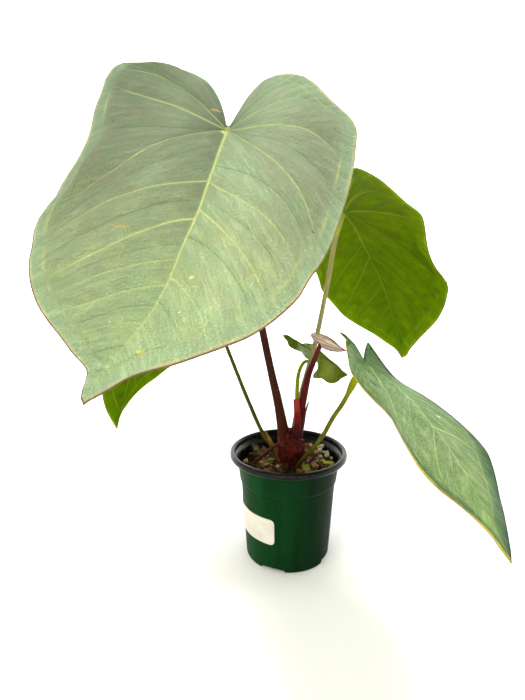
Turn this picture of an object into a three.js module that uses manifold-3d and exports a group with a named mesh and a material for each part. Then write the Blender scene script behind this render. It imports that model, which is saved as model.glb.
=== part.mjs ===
// Potted anthurium hybrid in a 4 inch nursery pot: four grown leaves, a small curled one and a new furled one.
// Millimetres, +Z up. The origin is the centre of the pot's underside, and -Y faces the viewer.
import * as THREE from "three";
import { mergeVertices } from "three/addons/utils/BufferGeometryUtils.js";
import Module from "manifold-3d";

const wasm = await Module();
wasm.setup();

const { Vector3 } = THREE;
const rad = THREE.MathUtils.degToRad;

// Clearance between neighbouring pieces.
const GAP = 0.3;

// Pot: thin injection-moulded shell with a step under its collar, a rolled rim and drain notches.
const POT = {
  height: 102.4,
  baseRadius: 39,
  stepHeight: 76,
  bodyTopRadius: 43.8,
  collarRadius: 44.9,
  collarTop: 93,
  collarTopRadius: 47,
  rimRadius: 54,
  rimDrop: 5.4,
  wall: 1.2,
  floor: 1.5,
  sides: 48,
};
const NOTCH = { count: 4, width: 25, height: 4, depth: 9, first: -110 };

// Label: a sticker with round corners that wraps the pot's left front.
const LABEL = {
  width: 67,
  height: 25,
  corner: 4,
  thickness: 0.4,
  middleAngle: -152,
  bottom: 28.5,
  tilt: 1.5,
};

// Potting mix: a mound of bark chips with perlite grains, some way below the rim.
const SOIL = { level: 86.5, mound: 3, moundRadius: 24, bark: 36, perlite: 22, seed: 11 };

// Crown: the knobbly stem piece that all leaves grow from.
const CROWN = { centre: [2, -4], bottom: 78, top: 124, radius: 12 };

// Leaf blades and the swelling under each of them, where the petiole joins.
const BLADE = 0.8;
const KEEL = 1.2;
// Rows of a blade from its midrib to its margin.
const ROWS = [0, 0.08, 0.28, 0.52, 0.77, 1];

// Each leaf has its petiole's end at (0, 0). Points of its outline are (along the midrib, sideways, lift),
// with sideways positive to the right of somebody who looks from the petiole to the tip.
// Heading, pitch, roll and fold are degrees; droop, lift and curl are degrees for every 100 mm.
// Basal is the share of a half margin, from the sinus, whose lines start at the petiole's end and not
// along the midrib. Sweep bows those lines backwards.
const LEAVES = {
  large: {
    attach: [-45, -65, 366.5],
    heading: -116, pitch: 48, roll: -18,
    droop: 6, lift: -6, fold: 1, curl: -11,
    columns: 24, basal: 0.62, sweep: 0.12,
    midrib: [[0, 0, 0], [72, -8, 0], [150, -1, 0], [211, 12, 1]],
    right: [
      [-5, 0, 0], [-17, 10, -6], [-49, 36, -3], [-62, 123, 0], [38, 104, -1], [108, 102, 0],
      [152, 78, 0], [191, 22, 0], [211, 12, 1],
    ],
    left: [
      [-5, 0, 0], [-23, 1, -7], [-51, -6, -1], [-65, -28, 1], [-41, -70, 2], [-22, -86, 4],
      [87, -93, 1], [145, -65, 2], [189, -9, 2], [211, 12, 1],
    ],
    petiole: [
      [-3, -3, 106], [-4.5, -4, 119], [-9, -10, 153], [-13.5, -14, 173], [-22.5, -25, 218],
      [-33, -43, 284], [-40, -56, 331],
    ],
    radii: [[0, 5.4], [0.05, 5], [0.14, 3.7], [0.3, 3], [0.93, 2.6], [0.97, 3.3], [1, 2.9]],
    bladeColor: "#9caf86",
    petioleColor: "#4a2a22",
  },
  back: {
    attach: [47.5, 30, 316],
    heading: 46, pitch: 37, roll: -1,
    droop: 18, lift: 3, fold: -15, curl: 16,
    columns: 20, basal: 0.6, sweep: 0.12,
    midrib: [[0, 0, 0], [95, 0, 0], [190, 0, 0]],
    right: [
      [-5, 0, 0], [-51, 23, 0], [-57, 53, 0], [-6, 79, 0], [32, 72, 1], [64, 72, 1],
      [83, 76, 2], [128, 54, 1], [174, 12, 0], [190, 0, 0],
    ],
    left: [
      [-5, 0, 0], [-39, -15, 0], [-58, -37, 0], [-51, -60, 0], [-13, -75, 0], [54, -71, 1],
      [113, -69, 0], [139, -50, 0], [177, -5, 0], [190, 0, 0],
    ],
    petiole: [
      [4, 2, 108], [5, 4, 118], [7, 6, 132], [13, 9, 160], [23, 14, 198], [34, 22, 255], [40, 27, 291],
    ],
    radii: [[0, 2.8], [0.2, 2.4], [0.9, 2.1], [0.95, 2.8], [1, 2.4]],
    bladeColor: "#5d8a22",
    petioleColor: "#8f8a5c",
  },
  right: {
    attach: [62, -40, 194],
    heading: -64, pitch: 10, roll: -28,
    droop: 16, lift: -25, fold: -5, curl: 10,
    columns: 20, basal: 0.6, sweep: 0.12,
    midrib: [[0, 0, 0], [90, 0, 0], [180, -3, 1]],
    right: [
      [-5, 0, 0], [-33, 15, 11], [-3, 28, 11], [33, 54, 11], [81, 68, 4], [108, 59, 7], [135, 43, 2],
      [168, 7, 3], [180, -3, 1],
    ],
    left: [
      [-5, 0, 0], [-25, -12, 11], [-51, -34, 11], [-45, -59, 2], [85, -67, 3], [126, -50, -3],
      [173, -8, 2], [180, -3, 1],
    ],
    petiole: [
      [2, -11, 72], [5, -14, 87], [11, -16, 97], [21, -20, 111], [30, -24, 126], [38, -28, 144],
      [45, -31, 157], [50, -34, 169], [54, -37, 180],
    ],
    radii: [[0, 2.3], [0.2, 2], [0.8, 1.8], [0.86, 2.5], [0.96, 2.9], [1, 2.4]],
    bladeColor: "#7f9a72",
    petioleColor: "#6f7a20",
  },
  left: {
    attach: [-85, 5, 276.5],
    heading: 172, pitch: 48, roll: 16,
    droop: 22, lift: 0, fold: -8, curl: -14,
    columns: 20, basal: 0.6, sweep: 0.12,
    midrib: [[0, 0, 0], [87, -3, 0], [174, -9, 1]],
    right: [
      [-4, 0, 0], [-34, 12, 0], [-49, 29, 0], [-43, 48, 0], [-6, 63, 0], [46, 57, -1],
      [77, 60, -1], [115, 40, -1], [147, 9, 3], [174, -9, 1],
    ],
    left: [
      [-4, 0, 0], [-42, -20, 0], [-46, -44, 1], [-31, -55, 1], [0, -62, 2], [51, -58, 3],
      [101, -59, 6], [143, -25, 12], [174, -9, 1],
    ],
    petiole: [
      [-3, 0, 72], [-7, -2, 87], [-10, -2, 95], [-16, -2, 106], [-24, -2, 119], [-37, -1, 149],
      [-56, 1, 198], [-71, 3, 238], [-80, 4, 263],
    ],
    radii: [[0, 2.2], [0.15, 1.9], [0.9, 1.6], [0.95, 2.3], [1, 2]],
    bladeColor: "#6a9426",
    petioleColor: "#4d5c20",
  },
  small: {
    attach: [22.2, 20, 183.9],
    heading: 0, pitch: 12, roll: 50,
    droop: 25, lift: 0, fold: -8, curl: 0,
    columns: 14, basal: 0, sweep: 0,
    midrib: [[0, 0, 0], [18, 1.5, 0], [36, 6.5, -1]],
    right: [
      [-1, 0, 0], [-1, 6, 0], [0, 12, 1], [2, 17, 1], [6, 18.5, 0], [12, 18.5, -1], [19.5, 19, -1.5],
      [26, 16.5, -1.5], [30, 12, -1.5], [36, 6.5, -1],
    ],
    left: [
      [-1, 0, 0], [-9, -1.5, 0], [-18, -5.5, 0], [-26, -11, 1], [-31, -17, 1.5], [-26, -19.5, 1],
      [-18, -17.5, 0], [-11, -16, -1], [-4, -13.5, -1], [3, -10.5, -0.5], [11, -7, -0.5],
      [20, -3, -0.5], [29, 2, -1], [36, 6.5, -1],
    ],
    petiole: [
      [6, -11, 112], [8, -12, 130], [7, -11, 157], [7.2, -9.4, 164.5], [8, -3.5, 173.2], [10.2, 5, 178.7],
      [13, 12, 181.7], [16.1, 19, 181.6],
    ],
    radii: [[0, 1.9], [0.5, 1.8], [0.9, 1.6], [1, 1.5]],
    bladeColor: "#7f9a4a",
    petioleColor: "#8fa028",
  },
};

// New leaf: a dark red petiole that carries a blade still rolled into a spindle.
const NEW_LEAF = {
  petiole: [
    [8, -3, 110], [11, -5, 127], [13, -7.5, 143], [14.4, -11.5, 156], [17.5, -20, 178],
    [20, -21, 187], [26.5, -23, 207],
  ],
  radii: [[0, 3.2], [0.5, 3.3], [0.75, 2.5], [1, 2]],
  spindle: [[17.5, -18.5, 214.5], [24.5, -21, 209.5], [30, -24, 209], [37, -29, 207], [46.5, -36, 203.5]],
  halfWidth: [[0, 0.7], [0.15, 3.6], [0.4, 5.8], [0.6, 4.6], [0.8, 2.5], [1, 0.4]],
  flatness: 0.55,
};

// Sheaths: leftover bracts that wrap part of a petiole. Angles turn from the front (0) to the right (90).
const SHEATHS = {
  red: {
    route: [[6.7, -11.4, 118], [8, -12, 130], [7, -11, 155]],
    radius: [[0, 2.6], [1, 2.6]],
    from: [[0, -130], [1, -100]],
    to: [[0, 130], [0.9, 95], [1, 60]],
    color: "#8a2028",
  },
  dark: {
    route: [[9.6, -3.7, 117], [11, -5, 127], [13, -7.5, 143], [14.2, -10, 152.5]],
    radius: [[0, 4.2], [0.7, 4.3], [1, 5.2]],
    from: [[0, 10], [0.6, 40], [1, 75]],
    to: [[0, 200], [0.6, 150], [1, 95]],
    color: "#4a1a18",
  },
  ochre: {
    route: [[-6.4, -1.8, 84.5], [-10, -2, 95], [-16, -2, 106], [-24, -2, 119]],
    radius: [[0, 2.8], [0.8, 2.8], [1, 3.4]],
    from: [[0, -10], [0.7, 15], [1, 60]],
    to: [[0, 170], [0.7, 130], [1, 90]],
    color: "#a07a28",
  },
};
const SHEATH_THICKNESS = 0.8;

// Aerial root: leaves the crown at the front left and dives into the mix.
const ROOT = {
  route: [[3, -11, 108], [-4, -12.5, 112], [-9, -11.5, 111.5], [-21, -8, 101], [-34, -5, 88], [-41, -3, 81]],
  radii: [[0, 2.2], [0.5, 2], [1, 1.7]],
};

const COLORS = { pot: "#1f5230", label: "#f0ebdd", soil: "#4a3526", crown: "#4a1f18", root: "#8a4a30" };

const points = (list) => list.map((p) => new Vector3(...p));
const curveThrough = (list) => new THREE.CatmullRomCurve3(points(list), false, "centripetal");

// Value at t of a quantity given as [t, value] pairs, linear between them.
function valueAt(pairs, t) {
  const next = pairs.findIndex(([at]) => at >= t);
  if (next <= 0) return pairs[0][1];
  const [t0, a] = pairs[next - 1];
  const [t1, b] = pairs[next];
  return THREE.MathUtils.mapLinear(t, t0, t1, a, b);
}

// Repeatable random numbers from 0 to 1.
function randomFrom(seed) {
  let state = seed;
  return () => {
    state = (Math.imul(state, 1664525) + 1013904223) >>> 0;
    return state / 4294967296;
  };
}

// Two directions across a tangent: one towards the front, one to the right of it.
function across(tangent) {
  const side = new Vector3(0, -1, 0).cross(tangent).normalize().negate();
  return [tangent.clone().cross(side).negate(), side];
}

function geometryFrom(vertices, triangles) {
  const geometry = new THREE.BufferGeometry();
  geometry.setAttribute("position", new THREE.Float32BufferAttribute(vertices.flatMap((v) => [...v]), 3));
  geometry.setIndex(triangles.flat());
  return geometry;
}

// Closed skin over a row of rings with equal point counts, with a fan at each end.
function loft(rings) {
  const sides = rings[0].length;
  const vertices = rings.flat();
  const triangles = [];
  for (let i = 0; i + 1 < rings.length; i += 1) {
    for (let k = 0; k < sides; k += 1) {
      const here = i * sides + k;
      const beside = i * sides + ((k + 1) % sides);
      triangles.push([here, beside, beside + sides], [here, beside + sides, here + sides]);
    }
  }
  const centreOf = (ring) => ring.reduce((sum, p) => sum.add(p), new Vector3()).divideScalar(sides);
  const first = vertices.push(centreOf(rings[0])) - 1;
  const last = vertices.push(centreOf(rings.at(-1))) - 1;
  const end = (rings.length - 1) * sides;
  for (let k = 0; k < sides; k += 1) {
    const next = (k + 1) % sides;
    triangles.push([first, next, k], [last, end + k, end + next]);
  }
  return geometryFrom(vertices, triangles);
}

// Round or flattened stalk along a route. With grow it is larger all round, as a tool that cuts its hole.
function stalk({ route, radii, flatness = 1, sides = 8, steps = 14, grow = 0 }) {
  const path = curveThrough(route);
  const rings = [];
  for (let i = 0; i <= steps; i += 1) {
    const t = i / steps;
    const tangent = path.getTangentAt(t);
    const [front, side] = across(tangent);
    const overrun = (i === steps) - (i === 0);
    const centre = path.getPointAt(t).addScaledVector(tangent, overrun * grow);
    const radius = valueAt(radii, t);
    rings.push(
      Array.from({ length: sides }, (_, k) => {
        const angle = (k / sides) * 2 * Math.PI;
        return centre
          .clone()
          .addScaledVector(front, Math.cos(angle) * (radius * flatness + grow))
          .addScaledVector(side, Math.sin(angle) * (radius + grow));
      }),
    );
  }
  return loft(rings);
}

// Closed sheet from a grid of points: equal points are joined, and the back lies behind them by thickness.
function sheet(grid, thicknessAt) {
  const vertices = [];
  const thickness = [];
  const known = new Map();
  const index = grid.map((line, i) =>
    line.map((point, j) => {
      const key = point.toArray().map((c) => c.toFixed(3)).join();
      if (!known.has(key)) {
        known.set(key, vertices.push(point) - 1);
        thickness.push(thicknessAt(i, j));
      }
      return known.get(key);
    }),
  );
  const front = [];
  for (let i = 0; i + 1 < grid.length; i += 1) {
    for (let j = 0; j + 1 < grid[i].length; j += 1) {
      const [a, b, c, d] = [index[i][j], index[i + 1][j], index[i + 1][j + 1], index[i][j + 1]];
      front.push([a, c, b], [a, d, c]);
    }
  }
  const faces = front.filter(([a, b, c]) => a !== b && b !== c && c !== a);

  const normals = vertices.map(() => new Vector3());
  for (const [a, b, c] of faces) {
    const ab = vertices[b].clone().sub(vertices[a]);
    const normal = ab.cross(vertices[c].clone().sub(vertices[a]));
    for (const corner of [a, b, c]) normals[corner].add(normal);
  }
  const back = vertices.map((v, i) => v.clone().addScaledVector(normals[i].normalize(), -thickness[i]));

  const count = vertices.length;
  const edges = new Set(faces.flatMap(([a, b, c]) => [`${a},${b}`, `${b},${c}`, `${c},${a}`]));
  const walls = [];
  for (const edge of edges) {
    const [a, b] = edge.split(",").map(Number);
    if (edges.has(`${b},${a}`)) continue;
    walls.push([b, a, a + count], [b, a + count, b + count]);
  }
  const under = faces.map(([a, b, c]) => [a + count, c + count, b + count]);
  return geometryFrom([...vertices, ...back], [...faces, ...under, ...walls]);
}

// End point of an arc of length x that starts at angle a and turns by c for every millimetre.
function arc(x, a, c) {
  if (Math.abs(c) < 1e-9) return [x * Math.cos(a), x * Math.sin(a)];
  return [(Math.sin(a + c * x) - Math.sin(a)) / c, (Math.cos(a) - Math.cos(a + c * x)) / c];
}

// Leaf point (along, sideways, lift) on the bent blade: X along the midrib, Y to the left, Z up.
function bend(leaf, { x: u, y: v, z: w }) {
  const turn = rad(u >= 0 ? leaf.droop : leaf.lift) / 100;
  const [along, sink] = arc(u, 0, turn);
  const [out, rise] = arc(Math.abs(v), rad(leaf.fold), rad(leaf.curl) / 100);
  const height = rise + w;
  return new Vector3(
    along + height * Math.sin(turn * u),
    -Math.sign(v) * out,
    height * Math.cos(turn * u) - sink,
  );
}

// Blade over lines that run from the midrib, or from the petiole's end, to the margin.
function blade(leaf) {
  const margins = {
    right: curveThrough(leaf.right).getSpacedPoints(leaf.columns),
    left: curveThrough(leaf.left).getSpacedPoints(leaf.columns),
  };
  const midrib = curveThrough(leaf.midrib);
  const beyondBase = (s) => Math.max(0, (s - leaf.basal) / (1 - leaf.basal));
  const grid = [];
  for (let i = -leaf.columns; i <= leaf.columns; i += 1) {
    const column = Math.abs(i);
    const edge = margins[i < 0 ? "left" : "right"][column];
    const start = midrib.getPointAt(beyondBase(column / leaf.columns));
    const bow = start.clone().lerp(edge, 0.5).setZ(start.z);
    bow.x -= leaf.sweep * start.distanceTo(edge);
    const line = new THREE.QuadraticBezierCurve3(start, bow, edge);
    grid.push(ROWS.map((t) => bend(leaf, line.getPoint(t))));
  }
  return sheet(grid, (i, j) => {
    const towardsTip = beyondBase(Math.abs(i - leaf.columns) / leaf.columns);
    return j === 0 ? BLADE + KEEL * (1 - towardsTip) : BLADE;
  });
}

// The petiole's last stretch meets the underside at a right angle, a gap below the swelling.
function petioleRoute(leaf) {
  const up = new Vector3(0, 0, 1).applyEuler(leafRotation(leaf));
  const endRadius = leaf.radii.at(-1)[1];
  const seat = BLADE + KEEL + GAP + endRadius * Math.tan(rad(Math.abs(leaf.fold)));
  const below = (depth) => new Vector3(...leaf.attach).addScaledVector(up, -depth).toArray();
  return [...leaf.petiole, below(seat + 2.2 * endRadius), below(seat)];
}

function leafRotation(leaf) {
  return new THREE.Euler(rad(leaf.roll), rad(leaf.pitch), rad(leaf.heading), "ZYX");
}

// Bract that wraps its route from one angle to another, as a thin closed shell.
function sheath({ route, radius, from, to }, grow = 0) {
  const path = curveThrough(route);
  const along = 7;
  const around = 8;
  const grid = [];
  for (let i = 0; i <= along; i += 1) {
    const t = i / along;
    const tangent = path.getTangentAt(t);
    const overrun = ((i === along) - (i === 0)) * grow;
    const centre = path.getPointAt(t).addScaledVector(tangent, overrun);
    const [front, side] = across(tangent);
    const reach = valueAt(radius, t) + SHEATH_THICKNESS / 2 + grow;
    const margin = THREE.MathUtils.radToDeg(grow / reach);
    const start = valueAt(from, t) - margin;
    const span = valueAt(to, t) + margin - start;
    grid.push(
      Array.from({ length: around + 1 }, (_, k) => {
        const angle = rad(start + (span * k) / around);
        return centre
          .clone()
          .addScaledVector(front, reach * Math.cos(angle))
          .addScaledVector(side, reach * Math.sin(angle));
      }),
    );
  }
  return sheet(grid, () => SHEATH_THICKNESS + 2 * grow);
}

// Solid of a closed geometry, for joining and cutting.
function solidOf(geometry) {
  const bare = new THREE.BufferGeometry();
  bare.setAttribute("position", geometry.getAttribute("position"));
  bare.setIndex(geometry.index);
  const merged = mergeVertices(bare, 1e-4);
  const faces = [];
  for (let i = 0; i < merged.index.count; i += 3) {
    const [a, b, c] = [0, 1, 2].map((k) => merged.index.getX(i + k));
    if (a !== b && b !== c && c !== a) faces.push(a, b, c);
  }
  return new wasm.Manifold(
    new wasm.Mesh({
      numProp: 3,
      vertProperties: Float32Array.from(merged.getAttribute("position").array),
      triVerts: Uint32Array.from(faces),
    }),
  );
}

function geometryOf(solid) {
  const { vertProperties, triVerts } = solid.getMesh();
  const geometry = new THREE.BufferGeometry();
  geometry.setAttribute("position", new THREE.BufferAttribute(vertProperties, 3));
  geometry.setIndex(new THREE.BufferAttribute(triVerts, 1));
  return geometry;
}

const cutBy = (body, tools) => tools.reduce((left, tool) => left.subtract(tool), body);

// The main body of a cut solid, without the crumbs that a cut leaves beside it.
const mainBody = (solid) => solid.decompose().sort((a, b) => b.volume() - a.volume())[0];

// Turned solid around the Z axis from (radius, height) pairs.
function turned(profile, sides) {
  const outline = profile.map(([radius, height]) => new THREE.Vector2(radius, height));
  return new THREE.LatheGeometry(outline, sides).rotateX(Math.PI / 2);
}

function potRadius(z) {
  const { baseRadius, stepHeight, bodyTopRadius, collarRadius, collarTop, collarTopRadius } = POT;
  if (z < stepHeight) return THREE.MathUtils.mapLinear(z, 0, stepHeight, baseRadius, bodyTopRadius);
  return THREE.MathUtils.mapLinear(z, stepHeight, collarTop, collarRadius, collarTopRadius);
}

function potSolid() {
  const { height, baseRadius, stepHeight, collarTop, rimRadius, rimDrop, wall, floor, sides } = POT;
  const inside = (z) => potRadius(z) - wall;
  const profile = [
    [0, 0],
    [baseRadius - 0.8, 0],
    [baseRadius, 0.8],
    [potRadius(stepHeight - 0.5), stepHeight - 0.5],
    [potRadius(stepHeight + 0.5), stepHeight + 0.5],
    [potRadius(collarTop), collarTop],
    [potRadius(collarTop) + 1.2, height - rimDrop - 0.6],
    [rimRadius - 1.2, height - rimDrop],
    [rimRadius, height - rimDrop + 1.2],
    [rimRadius, height - 1.6],
    [rimRadius - 1.4, height - 0.2],
    [rimRadius - 2.8, height],
    [rimRadius - 4.1, height - 0.9],
    [rimRadius - 4.6, height - rimDrop + 0.6],
    [inside(collarTop) + 1.6, height - rimDrop - 0.6],
    [inside(collarTop), collarTop - 0.4],
    [inside(stepHeight + 0.5), stepHeight + 0.5 + wall],
    [inside(stepHeight - 0.5), stepHeight - 0.5 + wall],
    [inside(floor + 1), floor + 1],
    [inside(floor) - 1, floor],
    [0, floor],
  ];
  const notches = Array.from({ length: NOTCH.count }, (_, k) => {
    const angle = rad(NOTCH.first + (k * 360) / NOTCH.count);
    const box = new THREE.BoxGeometry(NOTCH.depth, NOTCH.width, 2 * NOTCH.height);
    return solidOf(box.translate(baseRadius, 0, 0).rotateZ(angle));
  });
  return cutBy(solidOf(turned(profile, sides)), notches);
}

// Sticker on the pot's cone, with round corners and a slight tilt.
function labelGeometry() {
  const { width, height, corner, thickness, middleAngle, bottom, tilt } = LABEL;
  const columns = 16;
  const rows = 2;
  const grid = [];
  for (let i = 0; i <= columns; i += 1) {
    const along = (i / columns - 0.5) * width;
    const past = Math.max(0, Math.abs(along) - (width / 2 - corner));
    const half = height / 2 - corner + Math.sqrt(corner ** 2 - past ** 2);
    grid.push(
      Array.from({ length: rows + 1 }, (_, j) => {
        const up = (1 - (2 * j) / rows) * half;
        const z = bottom + height / 2 + up - along * Math.sin(rad(tilt));
        const radius = potRadius(z) + GAP + thickness;
        const angle = rad(middleAngle) + along / potRadius(bottom + height / 2);
        return new Vector3(radius * Math.cos(angle), radius * Math.sin(angle), z);
      }),
    );
  }
  return sheet(grid, () => thickness);
}

// Knobbly crown with leaf scars and nubs.
function crownSolid(grow = 0) {
  const { centre, bottom, top, radius } = CROWN;
  const height = top - bottom;
  const shares = [[0, 0], [0, 0.6], [0.25, 0.7], [0.45, 0.9], [0.65, 1], [0.8, 0.94], [0.93, 0.66], [1, 0.3], [1, 0]];
  const profile = shares.map(([up, out]) => [out * radius, bottom - grow + up * (height + 2 * grow)]);
  const body = turned(profile, 18);
  const place = body.getAttribute("position");
  for (let i = 0; i < place.count; i += 1) {
    const x = place.getX(i);
    const y = place.getY(i);
    const z = place.getZ(i);
    const angle = Math.atan2(y, x);
    const swell = 1 + 0.09 * Math.sin(3 * angle + z / 5) + 0.06 * Math.sin(5 * angle - z / 3);
    place.setXYZ(i, x * swell, y * swell, z);
  }
  const random = randomFrom(5);
  const nubs = Array.from({ length: 9 }, (_, k) => {
    const angle = (k / 9) * 2 * Math.PI + random();
    const nub = new THREE.IcosahedronGeometry(2.6 + 1.4 * random() + grow, 0);
    const reach = radius * 0.86;
    const z = bottom + height * (0.4 + 0.35 * random());
    return solidOf(nub.translate(reach * Math.cos(angle), reach * Math.sin(angle), z));
  });
  const widen = 1 + grow / radius;
  const core = solidOf(body).scale([widen, widen, 1]);
  return nubs.reduce((sum, nub) => sum.add(nub), core).translate([...centre, 0]);
}

function soilTop(x, y) {
  const { level, mound, moundRadius } = SOIL;
  const hill = mound * Math.exp(-(x * x + y * y) / (2 * moundRadius ** 2));
  return level + hill + 0.03 * x + 0.7 * Math.sin(x / 5.1 + 1) * Math.cos(y / 6.3);
}

// Potting mix that fills the pot, with bark chips and perlite grains standing out of its top.
function soilSolid() {
  const { level, bark, perlite, seed } = SOIL;
  const { stepHeight, floor, wall, sides } = POT;
  const reach = (z) => potRadius(z) - wall - GAP - 0.1;
  const profile = [
    [0, floor + GAP],
    [reach(floor) - 1.5, floor + GAP],
    [reach(floor + 2), floor + 2],
    [reach(stepHeight - 0.6), stepHeight - 0.6],
    [reach(stepHeight - 0.6), stepHeight + 2.2],
    [reach(level - 2) - 0.3, level - 2],
    ...[1, 0.85, 0.68, 0.5, 0.33, 0.16, 0].map((share) => [share * (reach(level - 2) - 0.6), level]),
  ];
  const body = turned(profile, sides);
  const place = body.getAttribute("position");
  for (let i = 0; i < place.count; i += 1) {
    if (place.getZ(i) > level - 1) place.setZ(i, soilTop(place.getX(i), place.getY(i)));
  }
  const random = randomFrom(seed);
  const between = (low, high) => low + (high - low) * random();
  const chunk = (geometry, inset, sink) => {
    const distance = Math.sqrt(random()) * (reach(level) - inset);
    const angle = between(-Math.PI, Math.PI);
    const x = distance * Math.cos(angle);
    const y = distance * Math.sin(angle);
    geometry.rotateX(between(-0.5, 0.5)).rotateY(between(-0.5, 0.5)).rotateZ(between(0, Math.PI));
    return solidOf(geometry.translate(x, y, soilTop(x, y) - sink));
  };
  let solid = solidOf(body);
  for (let k = 0; k < bark; k += 1) {
    const chip = new THREE.BoxGeometry(between(6, 13), between(4, 8), between(3, 5));
    solid = solid.add(chunk(chip, 9, between(-0.6, 0.6)));
  }
  for (let k = 0; k < perlite; k += 1) {
    const grain = new THREE.IcosahedronGeometry(between(1.6, 2.8), 0);
    solid = solid.add(chunk(grain, 4.5, -0.9));
  }
  return solid;
}

function mesh(name, geometry, color, roughness = 0.6) {
  const item = new THREE.Mesh(geometry, new THREE.MeshStandardMaterial({ color, roughness, metalness: 0 }));
  item.name = name;
  return item;
}

// Stalks and sheaths, each with a wider copy that cuts its hole in the crown or in the mix.
const petioles = Object.fromEntries(
  Object.entries(LEAVES).map(([key, leaf]) => [key, { route: petioleRoute(leaf), radii: leaf.radii }]),
);
const spindle = {
  route: NEW_LEAF.spindle,
  radii: NEW_LEAF.halfWidth,
  flatness: NEW_LEAF.flatness,
  steps: 12,
};
const newPetiole = { route: NEW_LEAF.petiole, radii: NEW_LEAF.radii };
const hole = (item) => solidOf(stalk({ ...item, grow: GAP }));
const sheathHoles = Object.values(SHEATHS).map((item) => solidOf(sheath(item, GAP)));
const stalkHoles = [...Object.values(petioles), newPetiole, ROOT].map(hole);
const crown = mainBody(cutBy(crownSolid(), [...stalkHoles, ...sheathHoles]));
const soil = mainBody(cutBy(soilSolid(), [crownSolid(GAP), ...stalkHoles, ...sheathHoles]));

const holder = new THREE.Group();
holder.add(
  mesh("pot", geometryOf(potSolid()), COLORS.pot, 0.45),
  mesh("label", labelGeometry(), COLORS.label, 0.7),
  mesh("soil", geometryOf(soil), COLORS.soil, 0.95),
);

const stems = new THREE.Group();
stems.add(
  mesh("crown", geometryOf(crown), COLORS.crown, 0.7),
  mesh("aerial_root", stalk(ROOT), COLORS.root, 0.7),
);
for (const [key, item] of Object.entries(SHEATHS)) {
  stems.add(mesh(`cataphyll_${key}`, sheath(item), item.color, 0.5));
}

const foliage = new THREE.Group();
for (const [key, leaf] of Object.entries(LEAVES)) {
  const surface = mesh(`blade_${key}`, blade(leaf), leaf.bladeColor, 0.5);
  surface.position.set(...leaf.attach);
  surface.rotation.copy(leafRotation(leaf));
  foliage.add(surface, mesh(`petiole_${key}`, stalk(petioles[key]), leaf.petioleColor, 0.5));
}
foliage.add(
  mesh("blade_new", stalk(spindle), "#8a6050", 0.45),
  mesh("petiole_new", geometryOf(solidOf(stalk(newPetiole)).subtract(hole(spindle))), "#6a1a18", 0.4),
);

const plant = new THREE.Group();
plant.add(holder, stems, foliage);

export default plant;
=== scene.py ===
"""Potted anthurium hybrid: leaves, stems, crown, bark mix, nursery pot and a pale studio floor."""
from math import cos, pi, radians, sin, tan

import bmesh
import bpy
import numpy as np
from bpy.props import FloatProperty, FloatVectorProperty, IntProperty, PointerProperty
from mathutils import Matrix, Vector


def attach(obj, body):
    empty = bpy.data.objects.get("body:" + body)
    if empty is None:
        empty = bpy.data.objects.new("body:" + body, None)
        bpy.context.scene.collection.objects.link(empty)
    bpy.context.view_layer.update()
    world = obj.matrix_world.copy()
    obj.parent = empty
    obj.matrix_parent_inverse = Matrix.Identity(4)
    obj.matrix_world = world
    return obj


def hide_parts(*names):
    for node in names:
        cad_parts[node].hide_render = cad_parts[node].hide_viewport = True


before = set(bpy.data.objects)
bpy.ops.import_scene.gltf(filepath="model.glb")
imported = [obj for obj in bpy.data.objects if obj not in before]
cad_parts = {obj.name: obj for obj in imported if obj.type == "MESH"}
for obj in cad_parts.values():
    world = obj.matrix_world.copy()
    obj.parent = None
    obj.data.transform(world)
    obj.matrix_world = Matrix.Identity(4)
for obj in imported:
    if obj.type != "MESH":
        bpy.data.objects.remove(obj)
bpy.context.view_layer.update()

bl_info = {
    "name": "Potted anthurium hybrid",
    "version": (1, 0, 0),
    "blender": (4, 5, 0),
    "location": "3D View > Sidebar > Anthurium",
    "description": "Builds the leaves, stems, bark mix and nursery pot of a potted anthurium hybrid",
    "category": "Add Mesh",
}

MM = 0.001
# Stands for a distance (mm) to a margin or rib that is out of reach.
FAR = 99.0
# Veins plainer than this stand out below the blade. The others are fine grooves.
RAISED = .35
BODY = "root"

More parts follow.
